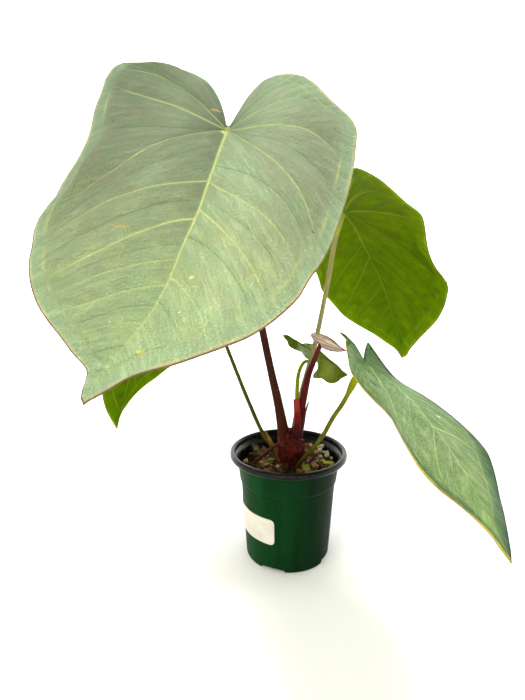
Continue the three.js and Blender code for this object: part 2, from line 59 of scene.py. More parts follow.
# Leaf data in millimetres and degrees, with each petiole's end at (0, 0). Outline points are (along the
# midrib, sideways, lift), sideways positive to the right of somebody who looks from the petiole to the tip.
# Swell is how much of the quilting a leaf has. Bulge is how soon a lobe rises towards its lifted margin,
# from the sinus (0) to the tip (1).
# A vein is its place on the half margin, from the sinus (0) to the tip (1), at 0, 1/3, 2/3 and all of the
# way out, then how plain it is to see.
LEAVES = {
    "large": {
        "attach": (-45, -65, 366.5), "heading": -116, "pitch": 48, "roll": -18,
        "droop": 6, "lift": -6, "fold": 1, "curl": -11, "basal": .62, "sweep": .12, "rows": 50,
        "midrib": [(0, 0, 0), (20, -2, 0), (40, -4, 0), (73, -7, 0), (105, -7.5, 0), (126, -8, 0),
            (148, -5, 0), (168, 1, 0), (189, 8.5, 1), (210, 12, 1)],
        "right": [(-5, 0, 0), (-9.5, 6.5, -3.5), (-16.5, 10, -6), (-29, 18, -6), (-40, 25.5, -4.5),
            (-49.5, 35.5, -3), (-56, 49.5, -2.5), (-60, 64.5, -1.5), (-63.5, 78.5, -1.5), (-65, 94, -1),
            (-65.5, 109, -.5), (-64, 124.5, 0), (-47.5, 128, 0), (-33.5, 123.5, 0), (-19, 120.5, -.5),
            (-4.5, 115.5, -.5), (9, 110, -1), (23, 105.5, -1), (37.5, 103, -1), (52, 102.5, -1),
            (65.5, 102.5, -.5), (80.5, 101.5, -.5), (94, 104.5, 0), (108.5, 103, 0), (120, 98, 0),
            (132, 93.5, 0), (143, 87, 0), (152.5, 79, 0), (162, 68.5, 0), (169.5, 57, 0), (176.5, 44.5, 0),
            (183.5, 33, 0), (191.5, 18.5, .5), (197, 16.5, 1), (203.5, 16, 1), (208, 14.5, 1),
            (210, 12, 1)],
        "left": [(-5, 0, 0), (-14, 1, -4), (-23, 1, -7), (-38, -1, -4.5), (-51.5, -4.5, -1),
            (-62, -15, .5), (-66, -28.5, 1), (-63.5, -40, 1.5), (-56.5, -50.5, 1.5), (-48.5, -60.5, 1.5),
            (-41, -70.5, 2), (-33.5, -80, 3), (-22.5, -87, 4), (-8.5, -90, 4), (4.5, -92.5, 3.5),
            (18, -94, 3), (32, -95, 2.5), (45.5, -95.5, 2), (60, -95.5, 1.5), (73, -95, 1), (87, -93, 1),
            (99.5, -89.5, 1), (112.5, -87, 1), (125, -81.5, 1.5), (136, -75, 2), (146.5, -66.5, 2),
            (156, -55.5, 2), (165, -44, 2), (173.5, -32.5, 2), (181, -20.5, 2), (189, -9, 2),
            (200, 1.5, 1.5), (210, 12, 1)],
        "veins_right": [
            (.17, .155, .15, .17, .2), (.325, .31, .322, .33, .75), (.46, .412, .4, .36, .9),
            (.545, .53, .51, .5, .2), (.628, .605, .645, .7, 1), (.645, .656, .683, .722, .2),
            (.705, .702, .71, .745, .75), (.733, .734, .747, .765, .25), (.76, .771, .788, .79, 1),
            (.795, .797, .803, .808, .2), (.816, .818, .822, .826, .6), (.849, .852, .857, .85, .65),
            (.875, .875, .881, .878, .25), (.898, .897, .898, .901, .4), (.928, .931, .934, .935, .25),
            (.96, .962, .965, .966, .15),
        ],
        "veins_left": [
            (.15, .165, .18, .23, .3), (.2, .226, .24, .33, .55), (.372, .354, .387, .46, .9),
            (.47, .45, .47, .51, .2), (.6, .552, .563, .62, 1), (.68, .645, .618, .636, .25),
            (.706, .684, .658, .66, .75), (.726, .712, .69, .692, .2), (.746, .735, .724, .726, 1),
            (.785, .766, .752, .75, .25), (.84, .827, .819, .81, .7), (.868, .862, .855, .85, .2),
            (.9, .895, .891, .887, .45), (.93, .928, .925, .92, .2), (.96, .959, .957, .955, .15),
        ],
        "petiole": [(-3, -3, 106), (-4.5, -4, 119), (-10, -10, 153), (-14.2, -14, 173), (-22.5, -25, 218),
            (-33, -43, 284), (-40, -56, 331)],
        "radii": [(0, 5.6), (.06, 5.3), (.15, 4.1), (.3, 3.3), (.93, 2.6), (.97, 3.3), (1, 2.9)],
    },
    "back": {
        "attach": (47.5, 30, 316), "heading": 46, "pitch": 37, "roll": -1,
        "droop": 18, "lift": 3, "fold": -15, "curl": 16, "basal": .6, "sweep": .12, "rows": 36,
        "fade": .95,
        "midrib": [(0, 0, 0), (15, 2.5, 0), (42, 0, 0), (95, 0, 0), (189, -1, 0)],
        "right": [(-5, 0, 0), (-17, 5, 0), (-29, 9.5, 0), (-41, 15, 0), (-51, 23, 0), (-56, 32, 0),
            (-59, 42.5, 0), (-59.5, 54, 0), (-48.5, 66, 0), (-35, 72, 0), (-20.5, 77, 0), (-6.5, 83.5, 0),
            (7.5, 81, .5), (20, 77.5, .5), (32, 74, 1), (42.5, 72, 1), (53.5, 71.5, 1), (64, 73, 1),
            (73, 76, 1.5), (83.5, 77.5, 2), (95.5, 73.5, 2), (107.5, 68.5, 1.5), (118, 62.5, 1.5),
            (129, 55, 1), (138, 47, 1), (147.5, 38, .5), (156.5, 29.5, .5), (165.5, 21.5, 0), (175, 13, 0),
            (183, 7.5, 0), (189, -1, 0)],
        "left": [(-5, 0, 0), (-16.5, -4.5, 0), (-28.5, -9, 0), (-39, -15, 0), (-50, -24.5, 0),
            (-58, -37, 0), (-57, -49, 0), (-50.5, -60.5, 0), (-39.5, -67.5, 0), (-26.5, -72, 0),
            (-13, -75, 0), (.5, -76, 0), (13.5, -75, .5), (27, -73.5, .5), (41, -72, 1), (53.5, -71, 1),
            (69, -71, 1), (83.5, -72.5, .5), (98.5, -74.5, 0), (113, -69.5, 0), (123.5, -64.5, 0),
            (133, -59.5, 0), (140.5, -52, 0), (149.5, -40, 0), (158.5, -27.5, 0), (168, -17, 0),
            (178, -6, 0), (189, -1, 0)],
        "veins_right": [
            (.24, .242, .236, .23, .8), (.272, .274, .29, .32, .9), (.37, .384, .402, .43, .9),
            (.48, .56, .61, .66, .6), (.66, .67, .69, .72, .45), (.72, .73, .75, .77, .5),
            (.78, .785, .8, .82, .5), (.84, .85, .86, .87, .4), (.9, .905, .91, .92, .3),
            (.95, .955, .96, .965, .2),
        ],
        "veins_left": [
            (.2, .21, .22, .24, .6), (.36, .35, .35, .36, .8), (.5, .5, .51, .54, .8),
            (.6, .61, .64, .66, .4), (.686, .696, .7, .71, .5), (.722, .75, .765, .775, .7),
            (.8, .81, .82, .83, .5), (.86, .865, .87, .88, .4), (.91, .915, .92, .93, .3),
            (.955, .96, .965, .97, .2),
        ],
        "petiole": [(4, 2, 108), (5, 4, 118), (7, 6, 132), (13, 9, 160), (23, 14, 198), (34, 22, 255),
            (40, 27, 291)],
        "radii": [(0, 2.8), (.2, 2.4), (.9, 2.1), (.95, 2.8), (1, 2.4)],
    },
    "right": {
        "attach": (62, -40, 194), "heading": -64, "pitch": 10, "roll": -28,
        "droop": 16, "lift": -25, "fold": -5, "curl": 10, "basal": .6, "sweep": .12, "rows": 36,
        "bulge": [(0, 1.2), (.12, 1.2), (.3, .9), (.5, 0)], "swell": .3,
        "midrib": [(0, 0, 0), (18, -7, 0), (36, -13, 0), (54, -12, 0), (73, -10.7, 0), (105, -7.2, 0),
            (140, -7, 0), (180.5, -6, 1)],
        "right": [(-5, 0, 0), (-17, 3.5, 4.5), (-29, 6.5, 8.5), (-36.5, 11.5, 10), (-32, 17.5, 10),
            (-21, 18.5, 10.1), (-3.5, 28, 11), (8.5, 37.5, 11), (20.5, 46, 11.5), (33, 54, 11),
            (44.5, 59.5, 9.5), (56, 64, 7.5), (68.5, 67.5, 5), (81, 64.5, 4), (94.5, 64.5, 5.5),
            (108, 59.5, 7), (119, 57, 5.5), (128.5, 52, 3.5), (137.5, 46.5, 2), (147, 37.5, 2),
            (153.5, 26.5, 2.5), (160.5, 17, 3), (169, 8, 3), (175.5, 1, 1.5), (180.5, -6, 1)],
        "left": [(-5, 0, 0), (-19, -8, 7), (-33, -18, 10), (-48, -29, 10.5), (-57, -37, 9.5),
            (-61, -42.5, 8), (-57, -48.5, 6), (-47.5, -50, 5), (-40.5, -54, 3), (-35.5, -59, 1),
            (-28.5, -63, -.5), (-19, -66.5, -.5), (-2.5, -69, 1), (12, -70, 1.5), (27, -70, 2),
            (41, -70, 2.5), (55.5, -69.5, 3), (70.5, -68.5, 3.5), (85.5, -68, 3), (99.5, -63.5, 1),
            (113, -58, -1.5), (126.5, -50.5, -3), (137, -43, -2.5), (146.5, -35, -1.5), (155.5, -26, 0),
            (165, -17.5, 1), (174, -10.5, 1.5), (180.5, -6, 1)],
        "veins_right": [
            (.18, .2, .22, .25, .4), (.36, .36, .37, .39, .5), (.5, .49, .49, .5, .5),
            (.61, .64, .68, .72, .9), (.7, .722, .745, .77, .5), (.775, .797, .815, .83, .9),
            (.83, .845, .86, .875, .5), (.88, .89, .9, .91, .5), (.93, .935, .94, .945, .3),
            (.965, .967, .97, .972, .2),
        ],
        "veins_left": [
            (.2, .21, .22, .24, .4), (.33, .34, .36, .39, .6), (.47, .46, .47, .5, .5),
            (.57, .56, .57, .6, .8), (.66, .65, .65, .66, .4), (.78, .75, .718, .714, 1),
            (.82, .8, .778, .77, .5), (.87, .86, .85, .84, .6), (.92, .915, .91, .9, .4),
            (.96, .958, .955, .95, .2),
        ],
        "petiole": [(2, -11, 72), (5, -14, 87), (11, -16, 97), (21, -20, 111), (30, -24, 126),
            (38, -28, 144), (45, -31, 157), (50, -34, 169), (54, -37, 180)],
        "radii": [(0, 2.3), (.2, 2), (.78, 2), (.84, 3.1), (.94, 3.5), (1, 3)],
    },
    "left": {
        "attach": (-85, 5, 276.5), "heading": 172, "pitch": 48, "roll": 16,
        "droop": 22, "lift": 0, "fold": -8, "curl": -14, "basal": .6, "sweep": .12, "rows": 34,
        "midrib": [(0, 0, 0), (87, -3, 0), (174, -10, 1)],
        "right": [(-4, 0, 0), (-14, 3.5, 0), (-24, 7, 0), (-34, 12, 0), (-43, 19.5, 0), (-49, 29, 0),
            (-48, 39, 0), (-43, 48, 0), (-32, 55.5, 0), (-19.5, 60, 0), (-6.5, 63, 0), (7, 63, 0),
            (20.5, 61, -.5), (33, 58.5, -1), (46, 57, -1), (56.5, 58, -1), (66.5, 60, -1), (77, 60, -1),
            (90.5, 55.5, -1), (105.5, 51.5, -1.5), (115.5, 41.5, -1), (127, 30.5, .5), (136.5, 19.5, 2),
            (147, 9.5, 3), (155.5, 2, 2.5), (163.5, -5.5, 2), (174, -10, 1)],
        "left": [(-4, 0, 0), (-17, -6, 0), (-30.5, -11.5, 0), (-42, -20.5, 0), (-46.5, -31.5, .5),
            (-46, -44, 1), (-39.5, -51, 1), (-31, -55, 1), (-21, -58.5, 1.5), (-10.5, -61, 1.5),
            (-.5, -62, 2), (13, -62, 2), (25.5, -60.5, 2.5), (38, -59, 2.5), (51, -58, 3),
            (63.5, -58.5, 3.5), (76, -60, 4), (88.5, -61, 5), (100.5, -59, 6), (113, -52, 8),
            (123, -43, 10), (132.5, -33.5, 12), (144.5, -26.5, 12), (154.5, -22, 9.5), (164.5, -16, 5.5),
            (174, -10, 1)],
        "veins_right": [
            (.19, .2, .21, .23, .5), (.36, .35, .35, .37, .8), (.5, .5, .51, .54, .8),
            (.6, .61, .64, .66, .4), (.69, .7, .71, .72, .6), (.75, .76, .77, .78, .6),
            (.81, .82, .825, .83, .5), (.86, .87, .875, .88, .4), (.91, .915, .92, .93, .3),
            (.955, .96, .965, .97, .2),
        ],
        "veins_left": [
            (.2, .21, .22, .24, .5), (.35, .34, .35, .37, .8), (.49, .49, .5, .53, .8),
            (.61, .62, .64, .66, .4), (.7, .71, .72, .73, .6), (.76, .77, .78, .79, .6),
            (.82, .83, .835, .84, .5), (.87, .875, .88, .885, .4), (.92, .925, .93, .935, .3),
            (.96, .963, .966, .97, .2),
        ],
        "petiole": [(-3, 0, 72), (-7, -2, 87), (-10, -2, 95), (-16, -2, 106), (-24, -2, 119),
            (-37, -1, 149), (-56, 1, 198), (-71, 3, 238), (-80, 4, 263)],
        "radii": [(0, 2.2), (.15, 1.9), (.9, 1.6), (.95, 2.3), (1, 2)],
    },
    "small": {
        "attach": (22.2, 20, 183.9), "heading": 0, "pitch": 12, "roll": 50,
        "droop": 25, "lift": 0, "fold": -8, "curl": 0, "basal": 0, "sweep": 0, "rows": 20,
        "midrib": [(0, 0, 0), (18, 1.5, 0), (36, 6.5, -1)],
        "right": [(-1, 0, 0), (2.5, 1, 0), (5, 4, 0), (5.5, 8, .5), (5, 12, 1), (2.5, 16, 1.5),
            (3, 18.5, 1), (6.5, 18, 0), (11.5, 16.5, -1), (15.5, 18, -1.5), (19.5, 19, -1.5),
            (23.5, 18, -1.5), (27.5, 15, -1.5), (29.5, 12, -1.5), (33, 9, -1), (36, 6.5, -1)],
        "left": [(-1, 0, 0), (-6.5, 1, 0), (-10, -2.5, 0), (-13, -6, 0), (-16, -6.5, 0), (-20.5, -6, .5),
            (-25, -8.5, 1), (-27, -13, 1), (-30, -16, 1), (-32.5, -18.5, 1.5), (-27.5, -20.5, 1),
            (-22.5, -18, .5), (-18, -15, 0), (-14.5, -13, -.5), (-12, -15.5, -1), (-6.5, -17.5, -1),
            (-1, -16, -.5), (4, -6.5, 0), (10.5, -4.5, 0), (16.5, -3.5, 0), (21.5, -1, -.5), (26, 2.5, -1),
            (29, 5, -1), (32.5, 4.5, -1), (36, 6.5, -1)],
        "veins_right": [(.3, .3, .3, .3, .3), (.5, .52, .54, .56, .5), (.7, .72, .74, .76, .5),
            (.86, .87, .88, .89, .3)],
        "veins_left": [(.12, .14, .16, .18, .3), (.3, .33, .36, .38, .6), (.55, .57, .6, .62, .4),
            (.8, .81, .82, .83, .3)],
        "petiole": [(6, -11, 112), (8, -12, 130), (7, -11, 157), (7.2, -9.4, 164.5), (8, -3.5, 173.2),
            (10.2, 5, 178.7), (13, 12, 181.7), (16.1, 19, 181.6)],
        "radii": [(0, 1.9), (.5, 1.8), (.9, 1.6), (1, 1.5)],
    },
}

# Furled new leaf on its own petiole.
NEW_LEAF = {
    "petiole": [(7, -3, 110), (9.4, -5.5, 127), (11.3, -8, 143), (12.9, -12, 156), (16.4, -20, 178),
        (19.2, -21, 187), (26.3, -23, 207)],
    "radii": [(0, 3.2), (.5, 3.3), (.75, 2.5), (1, 2)],
    "spindle": [(18, -18.5, 214.3), (22.7, -20, 211.7), (28.4, -22.5, 209), (34.5, -26, 206.4),
        (40.3, -30.5, 204.6), (46.3, -36, 203.8)],
    "half_width": [(0, 1.2), (.08, 2.9), (.2, 4.6), (.35, 5.7), (.5, 5.5), (.65, 4.3), (.8, 2.6),
        (.92, 1.2), (1, .4)],
    "flatness": .55,
}

# Bracts left around the stems. Angles turn from the front (0) to the right (90).
BRACTS = {
    "red": {
        "route": [(6.7, -11.4, 118), (8, -12, 130), (7, -11, 155)], "radius": [(0, 2.6), (1, 2.6)],
        "start": [(0, -130), (1, -100)], "end": [(0, 130), (.9, 95), (1, 60)],
    },
    "dark": {
        "route": [(8.2, -3.9, 117), (9.7, -5.4, 127), (11.9, -8, 143), (13.3, -10.4, 151.5)],
        "radius": [(0, 4.2), (.7, 3.9), (1, 4.2)],
        "start": [(0, -15), (.7, 20), (1, 55)], "end": [(0, 200), (.7, 140), (1, 115)],
    },
    "ochre": {
        "route": [(-6.4, -1.8, 84.5), (-10, -2, 95), (-16, -2, 106), (-24, -2, 119)],
        "radius": [(0, 2.8), (.8, 2.8), (1, 3.4)],
        "start": [(0, -10), (.7, 15), (1, 60)], "end": [(0, 170), (.7, 130), (1, 90)],
    },
}

ROOT_ROUTE = [(3, -11, 108), (-4, -12.5, 112), (-9, -11.5, 111.5), (-21, -8, 101), (-34, -5, 88),
    (-41, -3, 81)]
ROOT_RADII = [(0, 2), (.3, 1.7), (1, 1.5)]

# Bracts, pot, drain notches and label in millimetres and degrees. The crease is the angle (degrees) from
# which an edge of the pot is sharp.
BRACT_THICKNESS = .55
POT = {"height": 102.4, "base": 39, "step": 76, "body_top": 43.8, "collar": 44.9, "collar_top": 93,
       "collar_top_radius": 47, "rim": 54, "rim_drop": 5.4, "wall": 1.2, "floor": 1.5}
POT_CREASE = 38
NOTCH = {"count": 4, "first": -110, "depth": 9, "width": 25, "taper": 3, "height": 8, "corner": 1.2}
LABEL = {"width": 67, "height": 25, "corner": 4, "angle": -152, "bottom": 28.5, "tilt": 1.5, "gap": .3,
         "thickness": .4}

# Top of the mix (mm): its level, and its hills as place, height and spread.
SOIL_LEVEL = 86
SOIL_HILLS = ((0, 0, 3, 24), (28, 28, 3.6, 10), (-28, 24, 3, 9))
# Where most of the perlite lies, and how far it spreads (mm).
PERLITE_PATCH = (32, 24, 9)

# Camera: place (m), pitch and heading (degrees) and sensor height (mm). The backdrop's bend is in mm.
CAMERA = {"place": (0, -.44, .2905), "pitch": 77.9, "heading": 3.12, "sensor": 36}
BACKDROP_BEND = 1200


def linear(code):
    """Linear colour of an sRGB hex value."""
    parts = [int(code[k:k + 2], 16) / 255 for k in (1, 3, 5)]
    return tuple(c / 12.92 if c <= .04045 else ((c + .055) / 1.055) ** 2.4 for c in parts) + (1,)


def add(tree, kind, inputs=(), out=None, stops=(), **settings):
    """Adds a node and gives its output: the first one in use, or the one that out names.

    Inputs take sockets or values, by their names, or as a list that fills those in use in their order, such
    as value, from low, from high, to low and to high. Stops fill a ramp. Text with a # is an sRGB colour.
    """
    node = tree.nodes.new(kind if kind.startswith(("Geometry", "Function")) else "ShaderNode" + kind)
    if kind == "Mix":
        node.data_type = "RGBA"
    for key, value in settings.items():
        setattr(node, key, value)
    if not isinstance(inputs, dict):
        inputs = dict(zip([k for k, socket in enumerate(node.inputs) if socket.enabled], inputs))
    for key, value in inputs.items():
        if isinstance(value, bpy.types.NodeSocket):
            tree.links.new(value, node.inputs[key])
        elif value is not None:
            is_color = isinstance(value, str) and value.startswith("#")
            node.inputs[key].default_value = linear(value) if is_color else value
    for k, (place, color) in enumerate(stops):
        ramp = node.color_ramp.elements
        stop = ramp[k] if k < 2 else ramp.new(place)
        stop.position, stop.color = place, linear(color) if isinstance(color, str) else color
    return node.outputs[out] if out else next((s for s in node.outputs if s.enabled), node)


# Curves and the leaf's surface.


def curve(points, per_span=24):
    """Centripetal Catmull-Rom curve through the points, as a polyline."""
    p = np.array(points, float)
    p = np.vstack([2 * p[0] - p[1], p, 2 * p[-1] - p[-2]])
    line = []
    for p0, p1, p2, p3 in zip(p, p[1:], p[2:], p[3:]):
        d0, d1, d2 = [max(np.linalg.norm(b - a) ** .5, 1e-4) for a, b in ((p0, p1), (p1, p2), (p2, p3))]
        t1 = d1 * ((p1 - p0) / d0 - (p2 - p0) / (d0 + d1) + (p2 - p1) / d1)
        t2 = d1 * ((p2 - p1) / d1 - (p3 - p1) / (d1 + d2) + (p3 - p2) / d2)
        t = np.linspace(0, 1, per_span, endpoint=False)[:, None]
        line.append(p1 + t1 * t + (3 * (p2 - p1) - 2 * t1 - t2) * t ** 2 + (2 * (p1 - p2) + t1 + t2)
            * t ** 3)
    return np.vstack(line + [p[-2:-1]])


def along(line, shares):
    """Points of a polyline at shares of its length."""
    reach = np.r_[0, np.cumsum(np.linalg.norm(np.diff(line, axis=0), axis=1))]
    return np.stack([np.interp(np.asarray(shares) * reach[-1], reach, line[:, k]) for k in range(3)], -1)


def value_at(pairs, t):
    return np.interp(t, [p[0] for p in pairs], [p[1] for p in pairs])


def smooth_step(low, high, x):
    t = np.clip((x - low) / (high - low), 0, 1)
    return t * t * (3 - 2 * t)


def arc(x, start, turn):
    """End of an arc of length x that starts at an angle and turns for every millimetre."""
    turn = np.where(np.abs(turn) < 1e-9, 1e-9, turn)
    return (np.sin(start + turn * x) - np.sin(start)) / turn, (np.cos(start)
        - np.cos(start + turn * x)) / turn


def turn_matrix(axis, angle):
    """Matrix of a turn about the x (0), y (1) or z (2) axis."""
    matrix = np.eye(3)
    i, j = ((1, 2), (2, 0), (0, 1))[axis]
    matrix[i, i] = matrix[j, j] = cos(angle)
    matrix[i, j], matrix[j, i] = -sin(angle), sin(angle)
    return matrix


def rotation(leaf):
    """Leaf axes (along, left, up) as columns, in the plant's frame."""
    heading, pitch, roll = (radians(leaf[key]) for key in ("heading", "pitch", "roll"))
    return turn_matrix(2, heading) @ turn_matrix(1, pitch) @ turn_matrix(0, roll)


def bend(leaf, flat):
    """Places flat leaf points (along, sideways, lift) on the bent blade, in the plant's frame."""
    u, v, w = flat[..., 0], flat[..., 1], flat[..., 2]
    turn = np.radians(np.where(u >= 0, leaf["droop"], leaf["lift"])) / 100
    turn = np.where(np.abs(turn) < 1e-9, 1e-9, turn)
    forward, sink = arc(u, 0, turn)
    out, rise = arc(np.abs(v), radians(leaf["fold"]), radians(leaf["curl"]) / 100)
    height = rise + w
    local = np.stack([forward + height * np.sin(turn * u), -np.sign(v) * out,
        height * np.cos(turn * u) - sink], -1)
    return local @ rotation(leaf).T + np.array(leaf["attach"], float)


def close_sheet(points, faces, thickness):
    """Points, faces, face kinds (0 top, 1 under, 2 edge) and source points of a sheet made solid."""
    _, first, index = np.unique(np.round(points, 4), axis=0, return_index=True, return_inverse=True)
    index = index.ravel()
    top = points[first]
    kept = []
    for face in faces:
        ring = [int(index[k]) for k in face]
        ring = [a for a, b in zip(ring, ring[1:] + ring[:1]) if a != b]
        if len(set(ring)) > 2:
            kept.append(ring)
    normal = np.zeros_like(top)
    for ring in kept:
        p = top[ring]
        across = np.cross(p[1] - p[0], p[-1] - p[0])
        normal[ring] += across + (np.cross(p[2] - p[1], p[3] - p[2]) if len(ring) == 4 else 0)
    normal /= np.maximum(np.linalg.norm(normal, axis=1), 1e-12)[:, None]
    under = top - normal * thickness[first][:, None]
    count = len(top)
    edges = {(a, b) for ring in kept for a, b in zip(ring, ring[1:] + ring[:1])}
    walls = [(b, a, a + count, b + count) for a, b in edges if (b, a) not in edges]
    walls.sort()
    body = kept + [[k + count for k in reversed(ring)] for ring in kept] + walls
    kinds = [0] * len(kept) + [1] * len(kept) + [2] * len(walls)
    return np.vstack([top, under]), body, kinds, np.r_[first, first]


def linked(name, data):
    """New object in the scene."""
    thing = bpy.data.objects.new(name, data)
    bpy.context.scene.collection.objects.link(thing)
    return thing


def baked(thing):
    """Mesh of an object with its modifiers worked in."""
    bpy.context.view_layer.update()
    return bpy.data.meshes.new_from_object(thing.evaluated_get(bpy.context.evaluated_depsgraph_get()))


def shade(mesh, sharp=None):
    """Smooth shading, apart from edges sharper than an angle in degrees."""
    mesh.polygons.foreach_set("use_smooth", [True] * len(mesh.polygons))
    if sharp is not None:
        mesh.set_sharp_from_angle(angle=radians(sharp))


def weld(mesh, distance, close=False):
    """Merges points that lie on each other, and closes holes where that is asked."""
    shape = bmesh.new()
    shape.from_mesh(mesh)
    bmesh.ops.remove_doubles(shape, verts=shape.verts[:], dist=distance)
    if close:
        bmesh.ops.holes_fill(shape, edges=shape.edges[:], sides=0)
        bmesh.ops.recalc_face_normals(shape, faces=shape.faces[:])
    shape.to_mesh(mesh)
    shape.free()


def mesh_object(name, points, faces, materials, kinds=None, sharp=50):
    """Object at the origin from points in millimetres."""
    mesh = bpy.data.meshes.new(name)
    mesh.from_pydata((np.asarray(points) * MM).tolist(), [], [list(face) for face in faces])
    for material in materials:
        mesh.materials.append(material)
    if kinds is not None:
        mesh.polygons.foreach_set("material_index", kinds)
    shade(mesh, sharp)
    mesh.update()
    return linked(name, mesh)


def store(thing, name, values):
    """Number for each vertex, read by the piece's material."""
    layer = thing.data.attributes.new(name, "FLOAT", "POINT")
    layer.data.foreach_set("value", np.asarray(values, np.float32))


def store_uv(thing, name, pairs):
    layer = thing.data.uv_layers.new(name=name)
    corners = np.zeros(len(thing.data.loops), np.int32)
    thing.data.loops.foreach_get("vertex_index", corners)
    layer.data.foreach_set("uv", np.asarray(pairs, np.float32)[corners].ravel())


def settle(thing, nodes):
    """Makes a finished piece stand for its CAD nodes."""
    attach(thing, BODY)
    if nodes:
        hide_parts(*nodes)
    return thing


def grown(thing, tree, **values):
    """Plain mesh of an object after a Geometry Nodes tree, whose inputs are set by name here."""
    modifier = thing.modifiers.new("Growth", "NODES")
    modifier.node_group = tree
    for item in tree.interface.items_tree:
        if item.item_type == "SOCKET" and item.in_out == "INPUT" and item.name in values:
            modifier[item.identifier] = values[item.name]
    mesh, name = baked(thing), thing.name
    bpy.data.objects.remove(thing)
    mesh.name = name
    return linked(name, mesh)


# Materials. Every pattern's size is worked out in millimetres: a scale of 1000 / n gives n millimetres.


def new_material(name, skin, *settings):
    """Material whose surface one of the functions below builds in its node tree."""
    material = bpy.data.materials.new(name)
    material.use_nodes = True
    tree = material.node_tree
    tree.nodes.clear()
    add(tree, "OutputMaterial", [skin(tree, *settings)])
    return material


